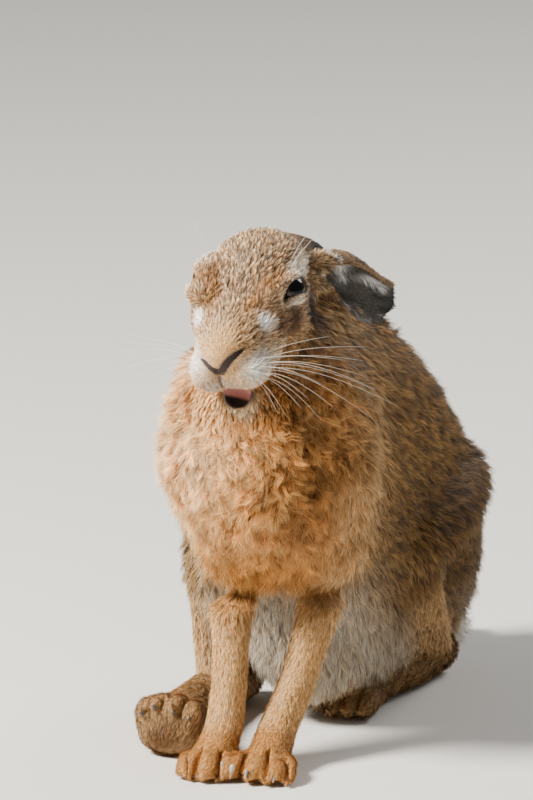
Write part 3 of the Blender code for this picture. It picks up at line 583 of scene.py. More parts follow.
fieldPlan = {
    "sharpness": 9.0,  # how suddenly the coat's build changes from one bone to the next
    "softness": 6.0,  # the same for its colours
    "drift": (24, 4, (90, 130)),  # size and reach of the wander in those borders, heights over which it sets in
    "warp": (9, 1.6),  # size and reach of the wander in the markings' borders
    "saturation": 1.18,  # how much stronger the colours are than listed
    "upperLeg": {"length": 12, "depth": 2.2, "wave": 1.0, "gather": 0.5},  # where the forelegs leave the chest
    "hem": 7,  # mm that the chest's lowest hair is longer
    # strength, hair colour, tip colour and share of dark ends on the back, the lower flanks and the underside
    "back": (0.8, "#7f5c39", "#c8a276", 0.58),
    # lower flanks: partly the fur's own darker colour, partly painted shade
    "shadedFlank": (0.85, "#4f3820", "#84663f", 0.42),
    "underside": (1, "#c9bca8", "#e8dfd0", 0.0),
}
# Zones of the head in mm, each limit with the width that it fades over: rear, lowest and sideways.
headZones = {
    "throat": ((46, 16), (-60, 24), (36, 8)),
    "head": ((118, 20), (-50, 12), (52, 6)),
    "fine": ((80, 25), (-48, 8), (48, 6)),
    "muzzle": ((66, 12), (-45, 4), (44, 6)),
}


def headZone(inHead, name):
    rear, low, side = headZones[name]
    across = np.abs(inHead[:, 0])
    return (
        ramp(rear[0] - inHead[:, 1], 0, rear[1])
        * ramp(inHead[:, 2] - low[0], 0, low[1])
        * ramp(side[0] - across, 0, side[1])
    )


def tint(field, mid, tip, dark, share):
    field["mid"] = blend(field["mid"], linear(mid), share[:, None])
    field["tip"] = blend(field["tip"], linear(tip), share[:, None])
    field["dark"] = blend(field["dark"], dark, share)


# everything that the coat's plan says about places on the skin
def coatFields(points, normals):
    headPoints = toHead(points)
    total, softTotal = np.zeros(len(points)), np.zeros(len(points))
    field = {name: np.zeros(len(points)) for name in (*fieldNames, "dark", "trunk", "hind")}
    field |= {name: np.zeros((len(points), 3)) for name in ("flow", "mid", "tip")}
    owner = np.zeros(len(points), int)
    strongest = np.zeros(len(points))
    size, reach, heights = fieldPlan["drift"]
    drift = np.stack([wander(points, size, s) for s in (21, 22, 23)], 1)
    drifted = points + drift * reach * ramp(points[:, 2], *heights)[:, None]
    for number, (title, bone) in enumerate(bones.items()):
        inHead = bone["head"]
        far, run = alongBone(headPoints if inHead else drifted, bone["line"])
        flow = run * bone["run"] + np.array(bone["way"], float)
        if inHead:
            flow = flow @ headTurn.T
        weight, soft = (np.clip(far, 0.3, None) ** -fieldPlan[n] for n in ("sharpness", "softness"))
        closer = weight > strongest
        owner[closer], strongest[closer] = number, weight[closer]
        total += weight
        softTotal += soft
        kind = coatKinds[bone["kind"]]
        for name in fieldNames:
            field[name] += weight * kind[name]
        field["dark"] += soft * bone["dark"]
        field["trunk"] += soft * title.startswith(("back", "haunch", "shoulder", "neck"))
        field["hind"] += soft * title.startswith(("back", "haunch"))
        field["flow"] += weight[:, None] * unit(flow)
        for name in ("mid", "tip"):
            field[name] += soft[:, None] * linear(bone[name])
    for name, value in field.items():
        whole = softTotal if name in ("dark", "mid", "tip", "trunk", "hind") else total
        field[name] = value / (whole if value.ndim == 1 else whole[:, None])
    shadeTrunk(points, normals, field)
    # the throat's long coat starts behind the chin
    front = headZone(headPoints, "throat")
    for name, value in coatKinds["face"].items():
        if name in ("depth", "length", "wave", "width"):
            field[name] -= np.maximum(field[name] - value, 0) * front
    names = list(bones)
    forelegs = [names.index("foreleg_left"), names.index("foreleg_right")]
    legs = np.isin(owner, forelegs) * ramp(points[:, 2], 70, 118)
    hem = (owner == names.index("chest")) * ramp(135 - points[:, 2], 0, 25)
    field["length"] += fieldPlan["hem"] * hem
    for name, value in fieldPlan["upperLeg"].items():
        field[name] += (value - field[name]) * legs
    size, reach = fieldPlan["warp"]
    warp = np.stack([wander(points, size, s) for s in (3, 4, 5)], 1) * reach
    for _, inHead, mirrored, centre, reach, mid, tip, dark, strength in markings:
        place = (headPoints if inHead else points) + warp
        if mirrored:
            place = place * np.where(place[:, :1] < 0, (-1, 1, 1), (1, 1, 1))
        off = (place - np.array(centre, float)) / np.array(reach, float)
        tint(field, mid, tip, dark, strength * np.exp(-((off**2).sum(1) ** 1.5)))
    for name in ("mid", "tip"):
        grey = field[name] @ (0.21, 0.72, 0.07)
        field[name] = np.maximum(grey[:, None] + (field[name] - grey[:, None]) * fieldPlan["saturation"], 0.002)
    shadeEars(points, normals, field)
    shadeFace(headPoints, field)
    flow = field["flow"] - normals * (field["flow"] * normals).sum(1, keepdims=True)
    field["flow"] = unit(flow)
    field["owner"] = owner
    return field


# grizzled back, lower flanks darker partly in their own colour and partly as painted shade, and pale underside
def shadeTrunk(points, normals, field):
    trunk, hind = field["trunk"] ** 2, field["hind"] ** 2
    up = ramp(normals[:, 2] + 0.15 * wander(points, 25, 8), 0.25, 0.8) * trunk
    low = ramp(0.2 - normals[:, 2], 0.1, 0.9) * ramp(90 - points[:, 2], 0, 70) * trunk
    # lower on the hindquarters the coat is darkened, partly with painted shade
    side = ramp(190 - points[:, 2], 0, 60) * (1 - low) * hind
    for share, name in ((up, "back"), (side, "shadedFlank"), (low, "underside")):
        strength, mid, tip, dark = fieldPlan[name]
        tint(field, mid, tip, dark, share * strength)


eyePlan = {
    "radius": 10.2,
    # the gap between the lids, as arc lengths over the ball from where it looks: towards the rear corner, and up
    "opening": (
        (-11.0, -1.2), (-7.5, -0.9), (-4.0, -0.7), (0.0, -1.6), (4.0, -2.8), (7.5, -2.2), (9.6, 0.2), (9.9, 3.2),
        (8.0, 5.4), (4.5, 6.3), (0.0, 6.7), (-4.5, 6.0), (-7.8, 3.4), (-9.9, 0.8),
    ),
    "ringPoints": 64,
    # distance outside the gap and height over the ball of each ring of a lid
    "lidRings": ((-0.8, -0.5), (0, 0.15), (0.3, 0.7), (0.9, 1.05), (2, 1.2), (3.5, 1.1), (5.5, 0.4), (7, -1.0)),
    "gaze": (-1.0, 1.8),
    "irisReach": 8.4,
    "pupilReach": 5.6,
    # the iris and the white of the eye are much darker than their own colours: painted shade from the upper lid
    "shadedIris": "#4a2c16",
    "irisEdge": "#170d08",
    "pupil": "#040303",
    "white": "#2b1f1a",
    "paleRearLine": "#9a9490",  # a thin pale line at the rear corner of the gap between the lids
    "margin": "#191110",
}
# Lines pressed into the face, in the head's own axes: points with half widths, depth, colour.
faceLines = (
    (((-16.8, 7.2, -0.9, 0.7), (-12.5, 4.0, -2.3, 1.7), (-8.8, 1.9, -4.4, 2.2), (-5.2, 0.7, -6.6, 2.6),
      (-2.4, 0.8, -8.2, 2.8)), 1.0, "#2a1b19"),
    (((-2.4, 0.8, -8.2, 2.8), (0.6, -0.6, -4.4, 3.0), (4.0, 0.0, 0.4, 3.0), (7.6, 2.4, 3.6, 2.5),
      (10.6, 5.2, 5.6, 1.8), (13.4, 8.2, 7.2, 0.9)), 1.2, "#2a1b19"),
    (((-2.4, 0.8, -8.6, 2.0), (-2.7, 2.2, -14, 1.1), (-2.6, 4.6, -20, 1.0)), 1.1, "#4a3a36"),
)
# The gaps between the toes, pressed in the same way and darkened with painted shade, and the toes, raised, in the
# hare's own axes.
toeLines = tuple(
    # the gaps' dark colour is painted shade; the raised toes are not coloured
    ([(*spot, width) for spot in path], depth, "#3d281b")
    for paths, width, depth in (
        ((((11.6, -10, 16.9), (12.6, -20, 14.1), (12.9, -29, 7.3), (12.1, -32, 2.1)),
          ((24.8, -10, 18), (27.6, -20, 14.8), (29.1, -28, 9.7), (28.7, -32, 2.9)),
          ((37, -12, 14.3), (40.5, -20, 11.4), (42.3, -26, 7.8), (42.8, -28, 3.1))), 1.7, 4.2),
        ((((-22.9, -22, 12.9), (-20.3, -30, 8.5), (-19.9, -33, 4.1)),), 1.0, 1.6),
        ((((-17.1, -16, 17.1), (-15.9, -24, 13.9), (-15, -32, 9.4), (-15, -36, 3.3)),
          ((-3.8, -16, 15.7), (-1.9, -24, 12.5), (0, -32, 8.1), (0.5, -35, 0.5))), 1.7, 4.2),
        ((((16, 150, 21), (14, 138, 18), (12.5, 130, 12), (12.5, 126, 4)),
          ((24, 150, 22), (23, 136, 19), (22.6, 128, 12), (22.6, 123, 4)),
          ((34, 150, 21), (33, 138, 18), (32.7, 130, 12), (32.7, 126, 4))), 1.6, 3.0),
        ((((-60.5, 32, 34), (-61.7, 18, 36), (-61.7, 8, 30)),
          ((-51, 30, 38), (-51, 14, 41), (-51, 4, 34)),
          ((-41.5, 32, 34), (-40.2, 18, 36), (-40.2, 8, 30))), 1.4, 2.6),
        ((((-26, -18, 11.7), (-23.7, -28, 3.9)),
          ((-11.3, -20, 13.4), (-7.6, -32, 5.6)),
          ((0.6, -18, 12.6), (3.6, -30, 5.4)),
          ((9, -12, 13.2), (7.5, -28, 6.6)),
          ((19.9, -18, 14.3), (22.3, -32, 7.5)),
          ((33.1, -16, 11.7), (36.1, -28, 7.1))), 4.8, -2.3),
    )
    for path in paths
)
mouthPlan = {
    "centre": (2.5, 8, -29.5),
    "reach": (8.3, 13, 5.5),
    "deepCentre": (2.5, 22, -33),
    "deepReach": (10, 13, 8.5),
    "tongue": "#b0736a",
    "tongueUp": (0.15, 0.515, 0.857),  # the way up from the tongue, and how far down it starts
    "tongueDrop": 21,
    # painted shade: the mouth's depth and the tongue's front darkened
    "gap": "#150c0e",
    "lip": "#5d4a48",
}

creases = []


# the creases' lines dropped on the skin along the main view, in the hare's own axes
def layCreases(skin):
    a, e = math.radians(stage["azimuth"]), math.radians(stage["elevation"])
    ahead = Vector((-math.sin(a) * math.cos(e), math.cos(a) * math.cos(e), -math.sin(e)))
    skin.data.calc_loop_triangles()
    tree = BVHTree.FromPolygons(
        [v.co for v in skin.data.vertices], [t.vertices for t in skin.data.loop_triangles], all_triangles=True
    )
    for number, (path, *rest) in enumerate((*faceLines, *toeLines)):
        path = np.array(path, float)
        if number < len(faceLines):
            path[:, :3] = fromHead(path[:, :3])
        path = smoothPath(path, 4) if len(path) > 2 else np.linspace(path[0], path[1], 5)
        for k, spot in enumerate(toScene(path[:, :3])):
            hit = tree.ray_cast(Vector(spot) - ahead * 0.025, ahead, 0.06)[0]
            if hit is None:
                hit = tree.find_nearest(Vector(spot))[0]
            path[k, :3] = np.array(hit) / mm + packShift
        creases.append((path, *rest))


# ball's centre and the ways back, up and out, in the hare's own axes
def eyeAxes(side):
    look = unit(np.array(headShape["eyeLook"], float))
    back = unit(np.array((0, 1, 0)) - look * look[1])
    up = np.cross(look, back)
    up *= -1 if up[2] < 0 else 1
    slant = math.radians(headShape["eyeSlant"])
    back, up = back * math.cos(slant) + up * math.sin(slant), up * math.cos(slant) - back * math.sin(slant)
    flip = np.array((side, 1, 1))
    centre = fromHead([flip * headShape["eyePlace"]])[0]
    return centre, *(headTurn @ (flip * way) for way in (back, up, look))


# points over an eyeball, from arc lengths (towards the rear, up) and heights above its surface
def onEye(side, arcs, heights):
    centre, back, up, look = eyeAxes(side)
    reach = np.maximum(np.linalg.norm(arcs, axis=1), 1e-6)
    bend = reach / eyePlan["radius"]
    across = (arcs[:, :1] * back + arcs[:, 1:] * up) / reach[:, None]
    radius = (eyePlan["radius"] + heights)[:, None]
    return centre + radius * (np.cos(bend)[:, None] * look + np.sin(bend)[:, None] * across)


# arc lengths of points over an eyeball, and their distance from its centre
def arcsOf(side, points):
    centre, back, up, look = eyeAxes(side)
    off = points - centre
    far = np.linalg.norm(off, axis=1)
    way = off / np.maximum(far, 1e-6)[:, None]
    bend = np.arccos(np.clip(way @ look, -1, 1))
    across = np.stack([way @ back, way @ up], 1)
    across /= np.maximum(np.linalg.norm(across, axis=1), 1e-9)[:, None]
    return across * (bend * eyePlan["radius"])[:, None], far


def openingRing():
    corners = np.array(eyePlan["opening"])
    ring = smoothPath(np.vstack([corners[-3:], corners, corners[:3]]), 12)[36:-37]
    ring = ring[np.linspace(0, len(ring), eyePlan["ringPoints"], endpoint=False).astype(int)]
    run = np.roll(ring, -1, axis=0) - np.roll(ring, 1, axis=0)
    outward = unit(np.stack([run[:, 1], -run[:, 0]], 1))
    return ring, outward


# distance outside the gap between the lids, less than 0 within it
def outsideOpening(arcs):
    ring, outward = openingRing()
    off = arcs[:, None] - ring[None]
    nearest = np.linalg.norm(off, axis=2).argmin(1)
    pick = np.arange(len(arcs))
    far = np.linalg.norm(off[pick, nearest], axis=1)
    return far * np.sign((off[pick, nearest] * outward[nearest]).sum(1))


def pathDistance(points, path):
    best = np.full(len(points), 1e9)
    for a, b in zip(path, path[1:]):
        t = np.clip((points - a) @ (b - a) / ((b - a) @ (b - a)), 0, 1)
        best = np.minimum(best, np.linalg.norm(points - (a + t[:, None] * (b - a)), axis=1))
    return best


# how far out of the mouth's opening and of the space behind it a point is, in radii
def mouthReach(headPoints):
    front = (headPoints - np.array(mouthPlan["centre"])) / (np.array(mouthPlan["reach"]) * (1, 1.7, 1))
    deep = (headPoints - np.array(mouthPlan["deepCentre"])) / mouthPlan["deepReach"]
    return np.minimum(np.linalg.norm(front, axis=1), np.linalg.norm(deep, axis=1) + 0.12)


# 1 in the mouth, falling to 0 outside the lips
def mouthShare(headPoints):
    return ramp(1.24 - mouthReach(headPoints), 0, 0.12)


# short coat round the eyes, and bare places
def shadeFace(headPoints, field):
    near = np.flatnonzero((headPoints[:, 1] < 105) & (headPoints[:, 1] > -20) & (np.abs(headPoints[:, 0]) < 50))
    if not len(near):
        return
    local = headPoints[near]
    world = fromHead(local)
    bare = np.zeros(len(near))
    for side in (-1, 1):
        arcs, far = arcsOf(side, world)
        close = np.flatnonzero(far < eyePlan["radius"] + 9)
        outside = outsideOpening(arcs[close])
        bare[close] = np.maximum(bare[close], ramp(0.75 - outside, 0, 0.3))
        share = ramp(8 - outside, 0, 6)
        for name, value in (("length", 2.4), ("depth", 0.5), ("width", 0.26), ("density", 6.0), ("wave", 0)):
            field[name][near[close]] += (value - field[name][near[close]]) * share
    for path, _, _ in creases[: len(faceLines)]:
        far = alongBone(world, path)[0]
        bare = np.maximum(bare, ramp(0.9 - far, 0, 0.2))
        field["length"][near] *= 0.3 + 0.7 * ramp(far, 1, 2.6)
    bare = np.maximum(bare, mouthShare(local))
    field["density"][near] *= 1 - bare


# sinks the creases and the eye sockets into the skin, and raises the toes
def pressFace(skin):
    points, normals = pointsOf(skin), normalsOf(skin)
    for path, depth, _ in creases:
        low, high = path[:, :3].min(0) - 9, path[:, :3].max(0) + 9
        near = np.flatnonzero(np.all((points > low) & (points < high), axis=1))
        far = alongBone(points[near], path)[0]
        above = ramp(points[near, 2], 2, 9) if high[2] < 70 else 1  # the undersides stay flat
        points[near] -= normals[near] * (above * depth * np.exp(-(far**2)))[:, None]
    for side in (-1, 1):
        arcs, far = arcsOf(side, points)
        close = np.flatnonzero(far < eyePlan["radius"] + 10)
        sink = ramp(1.6 - outsideOpening(arcs[close]), 0, 1.6)
        centre = eyeAxes(side)[0]
        wanted = far[close] + (eyePlan["radius"] - 2.2 - far[close]) * sink
        points[close] = centre + (points[close] - centre) * (np.minimum(wanted, far[close]) / far[close])[:, None]
    setPoints(skin, points)


# both eyes' lids, thick-edged rings that wrap the balls and run out under the coat
def addLids(skin):
    ring, outward = openingRing()
    made = []
    for side in (-1, 1):
        rings = []
        for offset, height in eyePlan["lidRings"]:
            arcs = ring + outward * offset
            heavy = 0.5 * ramp(arcs[:, 1], 2, 6) * ramp(offset, 0.8, 3) * ramp(8 - offset, 0, 4)
            rings.append(onEye(side, arcs, height + heavy))
        lids = loftRings("lids", rings)
        made.append(lids)
        makeActive(lids)
        faceOutward()
        fifth = slice(4 * len(ring), 5 * len(ring))
        if (normalsOf(lids)[fifth] * (pointsOf(lids)[fifth] - eyeAxes(side)[0])).sum() < 0:
            lids.data.flip_normals()
        applyModifier(lids, "SUBSURF", levels=1, render_levels=1)
    joinAll([skin, *made])


# cuts the faces where share is above 0.5 into smaller ones
def refine(skin, share):
    corners = np.empty(len(skin.data.loops), np.int32)
    skin.data.loops.foreach_get("vertex_index", corners)
    starts = np.empty(len(skin.data.polygons), np.int32)
    skin.data.polygons.foreach_get("loop_start", starts)
    chosen = share[corners[starts]] > 0.5
    deselectAll()
    bpy.context.view_layer.objects.active = skin
    skin.data.vertices.foreach_set("select", np.zeros(len(skin.data.vertices), bool))
    skin.data.edges.foreach_set("select", np.zeros(len(skin.data.edges), bool))
    skin.data.polygons.foreach_set("select", chosen)
    skin.select_set(True)
    bpy.ops.object.mode_set(mode="EDIT")
    bpy.ops.mesh.select_mode(type="FACE")
    bpy.ops.object.mode_set(mode="OBJECT")
    skin.data.polygons.foreach_set("select", chosen)
    bpy.ops.object.mode_set(mode="EDIT")
    bpy.ops.mesh.subdivide(number_cuts=1, smoothness=0)
    bpy.ops.object.mode_set(mode="OBJECT")


# brown hare's eye: amber iris round a wide pupil, iris and white darkened with painted shade from the upper lid; wet,
# so lamps mirror sharply in it
def addEyes():
    material, tree, shader = newMaterial("wet eye", Roughness=0.05, IOR=1.38)
    colourBy(tree, shader, "eyeColour")
    for side, name in ((1, "eye_left"), (-1, "eye_right")):
        bpy.ops.mesh.primitive_uv_sphere_add(segments=96, ring_count=64, radius=1)
        ball = bpy.context.object
        ball.name = "eyeball_" + name[4:]
        centre, _, up, _ = eyeAxes(side)
        raw = vectorsOf(ball.data.vertices, "co")
        gaze = unit(onEye(side, np.array([eyePlan["gaze"]]), np.zeros(1))[0] - centre)
        across = unit(np.cross(gaze, up))
        rise = np.cross(across, gaze)
        way = raw[:, :1] * across + raw[:, 1:2] * rise + raw[:, 2:] * gaze
        off = np.arccos(np.clip(raw[:, 2], -1, 1)) * eyePlan["radius"]
        bulge = 0.35 * ramp(eyePlan["irisReach"] - off, 0, 5)
        setPoints(ball, centre + way * (eyePlan["radius"] + bulge)[:, None])
        streaks = wander(raw * 40, 7, 21) * 0.18 + wander(raw * 90, 7, 22) * 0.12
        # the iris's colour, darkened with painted shade
        shadedIris = linear(eyePlan["shadedIris"]) * (1 + streaks)[:, None]
        shadedIris = blend(shadedIris, linear(eyePlan["irisEdge"]), ramp(off, 5.0, eyePlan["irisReach"])[:, None])
        colours = blend(shadedIris, linear(eyePlan["white"]), ramp(off, eyePlan["irisReach"], 9.2)[:, None])
        pupil = ramp(eyePlan["pupilReach"] + 0.25 - off, 0, 0.5)[:, None]
        colours = blend(colours, linear(eyePlan["pupil"]), pupil)
        arcs = arcsOf(side, pointsOf(ball))[0]
        paleRearLine = ramp(outsideOpening(arcs) + 1.1, 0, 0.4) * ramp(arcs[:, 0], 6.2, 7.4)
        colours = blend(colours, linear(eyePlan["paleRearLine"]), paleRearLine[:, None])
        setColours(ball, "eyeColour", colours)
        makeActive(ball)
        bpy.ops.object.shade_smooth()
        finishPiece(ball, material, "eye", name)


clawPlan = {
    "radius": 1.7,
    "length": 7.0,
    "bend": 42,  # degrees from root to tip
    "sides": 14,
    "steps": 8,
    "root": "#37302d",
    "tip": "#cfc5bb",
    # root, way, size, paleness
    "places": (
        ((-21.0, -28, 11.6), (0.1, -0.84, -0.54), 1.0, 0.25),
        ((-8.6, -34.5, 10.5), (0, -0.8, -0.6), 1.0, 0.3),
        ((1.4, -29.4, 11.6), (0.03, -0.64, -0.76), 0.95, 0.45),
        ((-27.5, -20, 6.5), (-0.5, -0.8, -0.3), 0.8, 0.1),
        ((7.8, -29.8, 10.2), (-0.27, -0.62, -0.73), 1.3, 0.75),
        ((18.6, -34, 9.5), (-0.05, -0.85, -0.5), 0.9, 0.3),
        ((35.0, -29, 7.5), (0.05, -0.9, -0.4), 0.9, 0.3),
        ((43.5, -20, 6.0), (0.4, -0.85, -0.3), 0.8, 0.2),
        ((7.5, 129, 8.0), (-0.25, -0.95, -0.25), 1.1, 0.1),
        ((18.0, 124, 8.5), (-0.1, -0.97, -0.25), 1.15, 0.1),
        ((27.5, 125, 8.5), (0.05, -0.97, -0.25), 1.15, 0.1),
        ((37.5, 130, 8.0), (0.2, -0.95, -0.25), 1.05, 0.1),
        ((-66.0, 10, 28.0), (-0.25, -0.6, 0.75), 1.0, 0.15),
        ((-56.2, 6.5, 33.8), (-0.1, -0.6, 0.8), 1.1, 0.1),
        ((-44.2, 7.0, 31.8), (0.1, -0.6, 0.8), 1.1, 0.1),
        ((-35.5, 10, 28.0), (0.25, -0.6, 0.75), 1.0, 0.15),
    ),
}


# one claw drawn out of a ring, then a copy of it at each toe
def addClaws():
    bpy.ops.mesh.primitive_circle_add(
        vertices=clawPlan["sides"], radius=clawPlan["radius"] * mm, rotation=(math.pi / 2, 0, 0)
    )
    claw = bpy.context.object
    bpy.ops.object.transform_apply(rotation=True)
    bpy.ops.object.mode_set(mode="EDIT")
    bpy.ops.mesh.select_all(action="SELECT")
    bpy.ops.mesh.edge_face_add()
    steps = clawPlan["steps"]
    for k in range(steps):
        turn = math.radians(clawPlan["bend"]) * (k + 0.5) / steps
        reach = clawPlan["length"] * mm / steps
        step = (0, -math.cos(turn) * reach, -math.sin(turn) * reach)
        bpy.ops.mesh.extrude_region_move(TRANSFORM_OT_translate={"value": step})
        now, was = (1 - ((k + n) / steps) ** 1.7 * 0.93 for n in (1, 0))
        bpy.ops.transform.resize(value=(now / was,) * 3)
    faceOutward()
    applyModifier(claw, "SUBSURF", levels=1, render_levels=1)
    shape = vectorsOf(claw.data.vertices, "co").astype(float) / mm
    along = np.clip(-shape[:, 1] / clawPlan["length"], 0, 1)
    copies, colours = [], []
    for place, way, size, pale in clawPlan["places"]:
        copy = claw.copy()
        copy.data = claw.data.copy()
        bpy.context.scene.collection.objects.link(copy)
        ahead = unit(np.array(way, float))
        side = unit(np.cross(ahead, (0, 0, 1)))
        rise = np.cross(side, ahead)
        turned = shape[:, :1] * 0.8 * side - shape[:, 1:2] * ahead + shape[:, 2:] * rise
        setPoints(copy, np.array(place) - ahead * 2.5 + turned * size)
        share = np.clip(pale + 0.45 * ramp(along, 0.3, 1.0), 0, 1)[:, None]
        colours.append(blend(linear(clawPlan["root"]), linear(clawPlan["tip"]), share))
        copies.append(copy)
    bpy.data.objects.remove(claw)
    claws = joinAll(copies)
    claws.name = "claws"
    setColours(claws, "clawColour", np.concatenate(colours))
    material, tree, shader = newMaterial("claw horn", Roughness=0.34, IOR=1.55)  # keratin, dull shine over fine grain
    colourBy(tree, shader, "clawColour")
    bumpBy(tree, shader, addGrain(tree, 900.0), 0.3, 0.0002)
    makeActive(claws)
    bpy.ops.object.shade_smooth()
    finishPiece(claws, material, None)


whiskerPlan = {
    "radius": (0.14, 0.045),  # mm at root and tip
    "sides": 5,
    "segments": 14,
    # root in the head's axes, offset of the tip in the hare's own axes, droop
    "left": (
        ((21, 13, -3), (50, 18, 0), 3), ((22, 12, -6), (60, 28, -9), 5), ((22, 12, -9), (72, 38, -26), 8),
        ((21, 11, -11), (42, 16, -24), 6), ((20, 10, -13), (24, 6, -20), 4), ((22, 15, -4), (56, 34, 5), 4),
        ((22, 15, -8), (66, 30, -16), 7), ((21, 14, -11), (56, 26, -30), 8), ((20, 12, -14), (34, 14, -28), 6),
        ((23, 17, -6), (48, 40, -4), 4), ((22, 17, -10), (60, 44, -20), 6), ((21, 8, -6), (40, 6, -8), 4),
        ((20, 8, -10), (34, 4, -18), 5), ((19, 7, -14), (20, 0, -22), 4), ((23, 18, -2), (34, 30, 8), 2),
        ((18, 10, -17), (14, -2, -20), 3),
    ),
    "right": (
        ((-21, 13, -3), (-46, -4, 4), 3), ((-22, 12, -6), (-56, -8, -4), 4), ((-22, 12, -9), (-58, -2, -14), 6),
        ((-21, 11, -11), (-44, -8, -22), 6), ((-20, 10, -13), (-26, -8, -20), 4), ((-22, 15, -4), (-50, 8, 8), 3),
        ((-22, 15, -8), (-58, 8, -6), 5), ((-21, 14, -11), (-50, 8, -24), 7), ((-20, 12, -14), (-34, 0, -28), 6),
        ((-23, 17, -6), (-48, 20, 2), 4), ((-22, 17, -10), (-54, 22, -14), 5), ((-21, 8, -6), (-38, -14, -6), 4),
        ((-20, 8, -10), (-32, -14, -16), 4), ((-18, 9, -16), (-14, -10, -20), 3),
    ),
    # over each eye
    "brow": (
        ((28, 60, 33), (12, -8, 22), 2), ((29, 66, 34), (18, 0, 24), 2), ((28, 72, 35), (14, 6, 26), 2),
    ),
    "jitter": ((0.9, 1.05), 1.6),  # share of each length, and mm that each tip strays
    "colour": "#e2ddd4",
}


# stiff tapering bristles, curved tubes from the lips' sides and the brows
def addWhiskers(skin):
    tree = BVHTree.FromPolygons([v.co for v in skin.data.vertices], [p.vertices for p in skin.data.polygons])
    flip = np.array((-1, 1, 1))
    rows = [*whiskerPlan["left"], *whiskerPlan["right"], *whiskerPlan["brow"]]
    rows += [(flip * root, flip * tip, droop) for root, tip, droop in whiskerPlan["brow"]]
    k = np.arange(whiskerPlan["segments"] + 1) / whiskerPlan["segments"]
    radius = blend(*whiskerPlan["radius"], k)
    lengths, stray = whiskerPlan["jitter"]
    made = []
    for root, tip, droop in rows:
        start = np.array(tree.find_nearest(Vector(toScene(fromHead([root]))[0]))[0]) / mm + packShift
        tip = np.array(tip) * rng.uniform(*lengths) + rng.normal(0, stray, 3)
        sag = (4 * k * (1 - k) * (1 - 0.4 * k))[:, None]
        path = start + tip * (k[:, None] - 0.02) + np.array((0, 0, droop)) * sag
        ahead = unit(np.gradient(path, axis=0))
        side = unit(np.cross(ahead, (0, 0, 1)))
        rise = np.cross(side, ahead)
        rings = []
        for n in range(len(path)):
            turn = np.arange(whiskerPlan["sides"]) / whiskerPlan["sides"] * 2 * math.pi
            rings.append(path[n] + radius[n] * (np.cos(turn)[:, None] * side[n] + np.sin(turn)[:, None] * rise[n]))
        made.append(loftRings("whisker", rings, closeEnds=True))
    whiskers = joinAll(made)
    whiskers.name = "whiskers"
    faceOutward()
    material, tree, shader = newMaterial("whisker bristle", Roughness=0.4, IOR=1.55)  # clear white keratin, glossy
    varyColour(tree, shader, tuple(linear(whiskerPlan["colour"])), addGrain(tree, 120.0), 0.88, 1.0)
    finishPiece(whiskers, material, "fur")


skinPlan = {
    "voxel": 1.15,
    "triangles": 77000,
    "bridge": 0.35,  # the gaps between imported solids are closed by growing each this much
    "smoothings": (("chest", 0.5, 40), ("body", 0.5, 14), ("toes", 0.6, 16), ("", 0.5, 2)),  # where, factor, times
    # lowest and highest corners round the toes of the front paws, the right and the left hind foot
    "toeBoxes": (((-36, -60, -5), (52, -2, 26)), ((-80, -10, -5), (-28, 36, 50)), ((-2, 108, -5), (50, 156, 30))),
}


# 1 at the toes of all feet
def toeShare(points):
    share = np.zeros(len(points))
    for low, high in skinPlan["toeBoxes"]:
        inside = np.minimum(points - low, np.array(high) - points).min(1)
        share = np.maximum(share, ramp(inside, 0, 3))
    return share


def buildSkin():
    flesh = list(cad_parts)
    deselectAll()
    for name in flesh:
        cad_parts[name].select_set(True)
    bpy.context.view_layer.objects.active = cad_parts[flesh[0]]
    bpy.ops.object.duplicate()
    bpy.ops.object.join()
    skin = bpy.context.object
    skin.name = "hare_skin"
    for key in list(skin.keys()):
        del skin[key]
    skin.parent = None
    bpy.ops.object.mode_set(mode="EDIT")
    bpy.ops.mesh.select_all(action="SELECT")
    bpy.ops.mesh.remove_doubles(threshold=1e-6)
    bpy.ops.object.mode_set(mode="OBJECT")
    applyModifier(skin, "DISPLACE", strength=skinPlan["bridge"] * mm, mid_level=0)
    applyModifier(skin, "REMESH", mode="VOXEL", voxel_size=skinPlan["voxel"] * mm)
    layChestFlat(skin)
    applyModifier(skin, "REMESH", mode="VOXEL", voxel_size=skinPlan["voxel"] * mm)
    points = pointsOf(skin)
    headShare, earShare = headZone(toHead(points), "head"), earCloseness(points)
    setGroup(skin, "chest", chestWeight(points) * (1 - headShare) * (1 - earShare))
    setGroup(skin, "body", (1 - headShare) * (1 - earShare))
    setGroup(skin, "toes", toeShare(points))
    for where, factor, times in skinPlan["smoothings"]:
        applyModifier(skin, "SMOOTH", factor=factor, iterations=times, vertex_group=where)
    points = pointsOf(skin)
    fine = np.maximum(headZone(toHead(points), "fine"), toeShare(points))
    setGroup(skin, "plain", 1 - 0.92 * fine)
    ratio = skinPlan["triangles"] / (2 * len(skin.data.polygons))
    applyModifier(skin, "DECIMATE", ratio=ratio, vertex_group="plain", vertex_group_factor=0.05)
    skin.vertex_groups.clear()
    points, normals = pointsOf(skin), normalsOf(skin)
    depth = coatFields(points, normals)["depth"]
    depth += (0.7 - depth) * earCloseness(points)
    setPoints(skin, points - normals * (depth + skinPlan["bridge"])[:, None])
    inHead = toHead(pointsOf(skin))
    nose = ramp(14 - inHead[:, 1], 0, 4) * ramp(inHead[:, 2] + 40, 0, 2)
    refine(skin, np.maximum(nose, toeShare(pointsOf(skin))))
    layCreases(skin)
    pressFace(skin)
    addLids(skin)
    makeActive(skin)
    bpy.ops.object.shade_smooth()
    return skin


# 1 over the ruff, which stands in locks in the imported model
def chestWeight(points):
    across = np.abs(points[:, 0] - 3)
    weight = ramp(points[:, 2], 96, 110) * ramp(250 - points[:, 2], 0, 10)
    weight = weight * ramp(78 - points[:, 1] + 0.3 * across, 0, 16)
    return weight * (1 - headZone(toHead(points), "muzzle"))


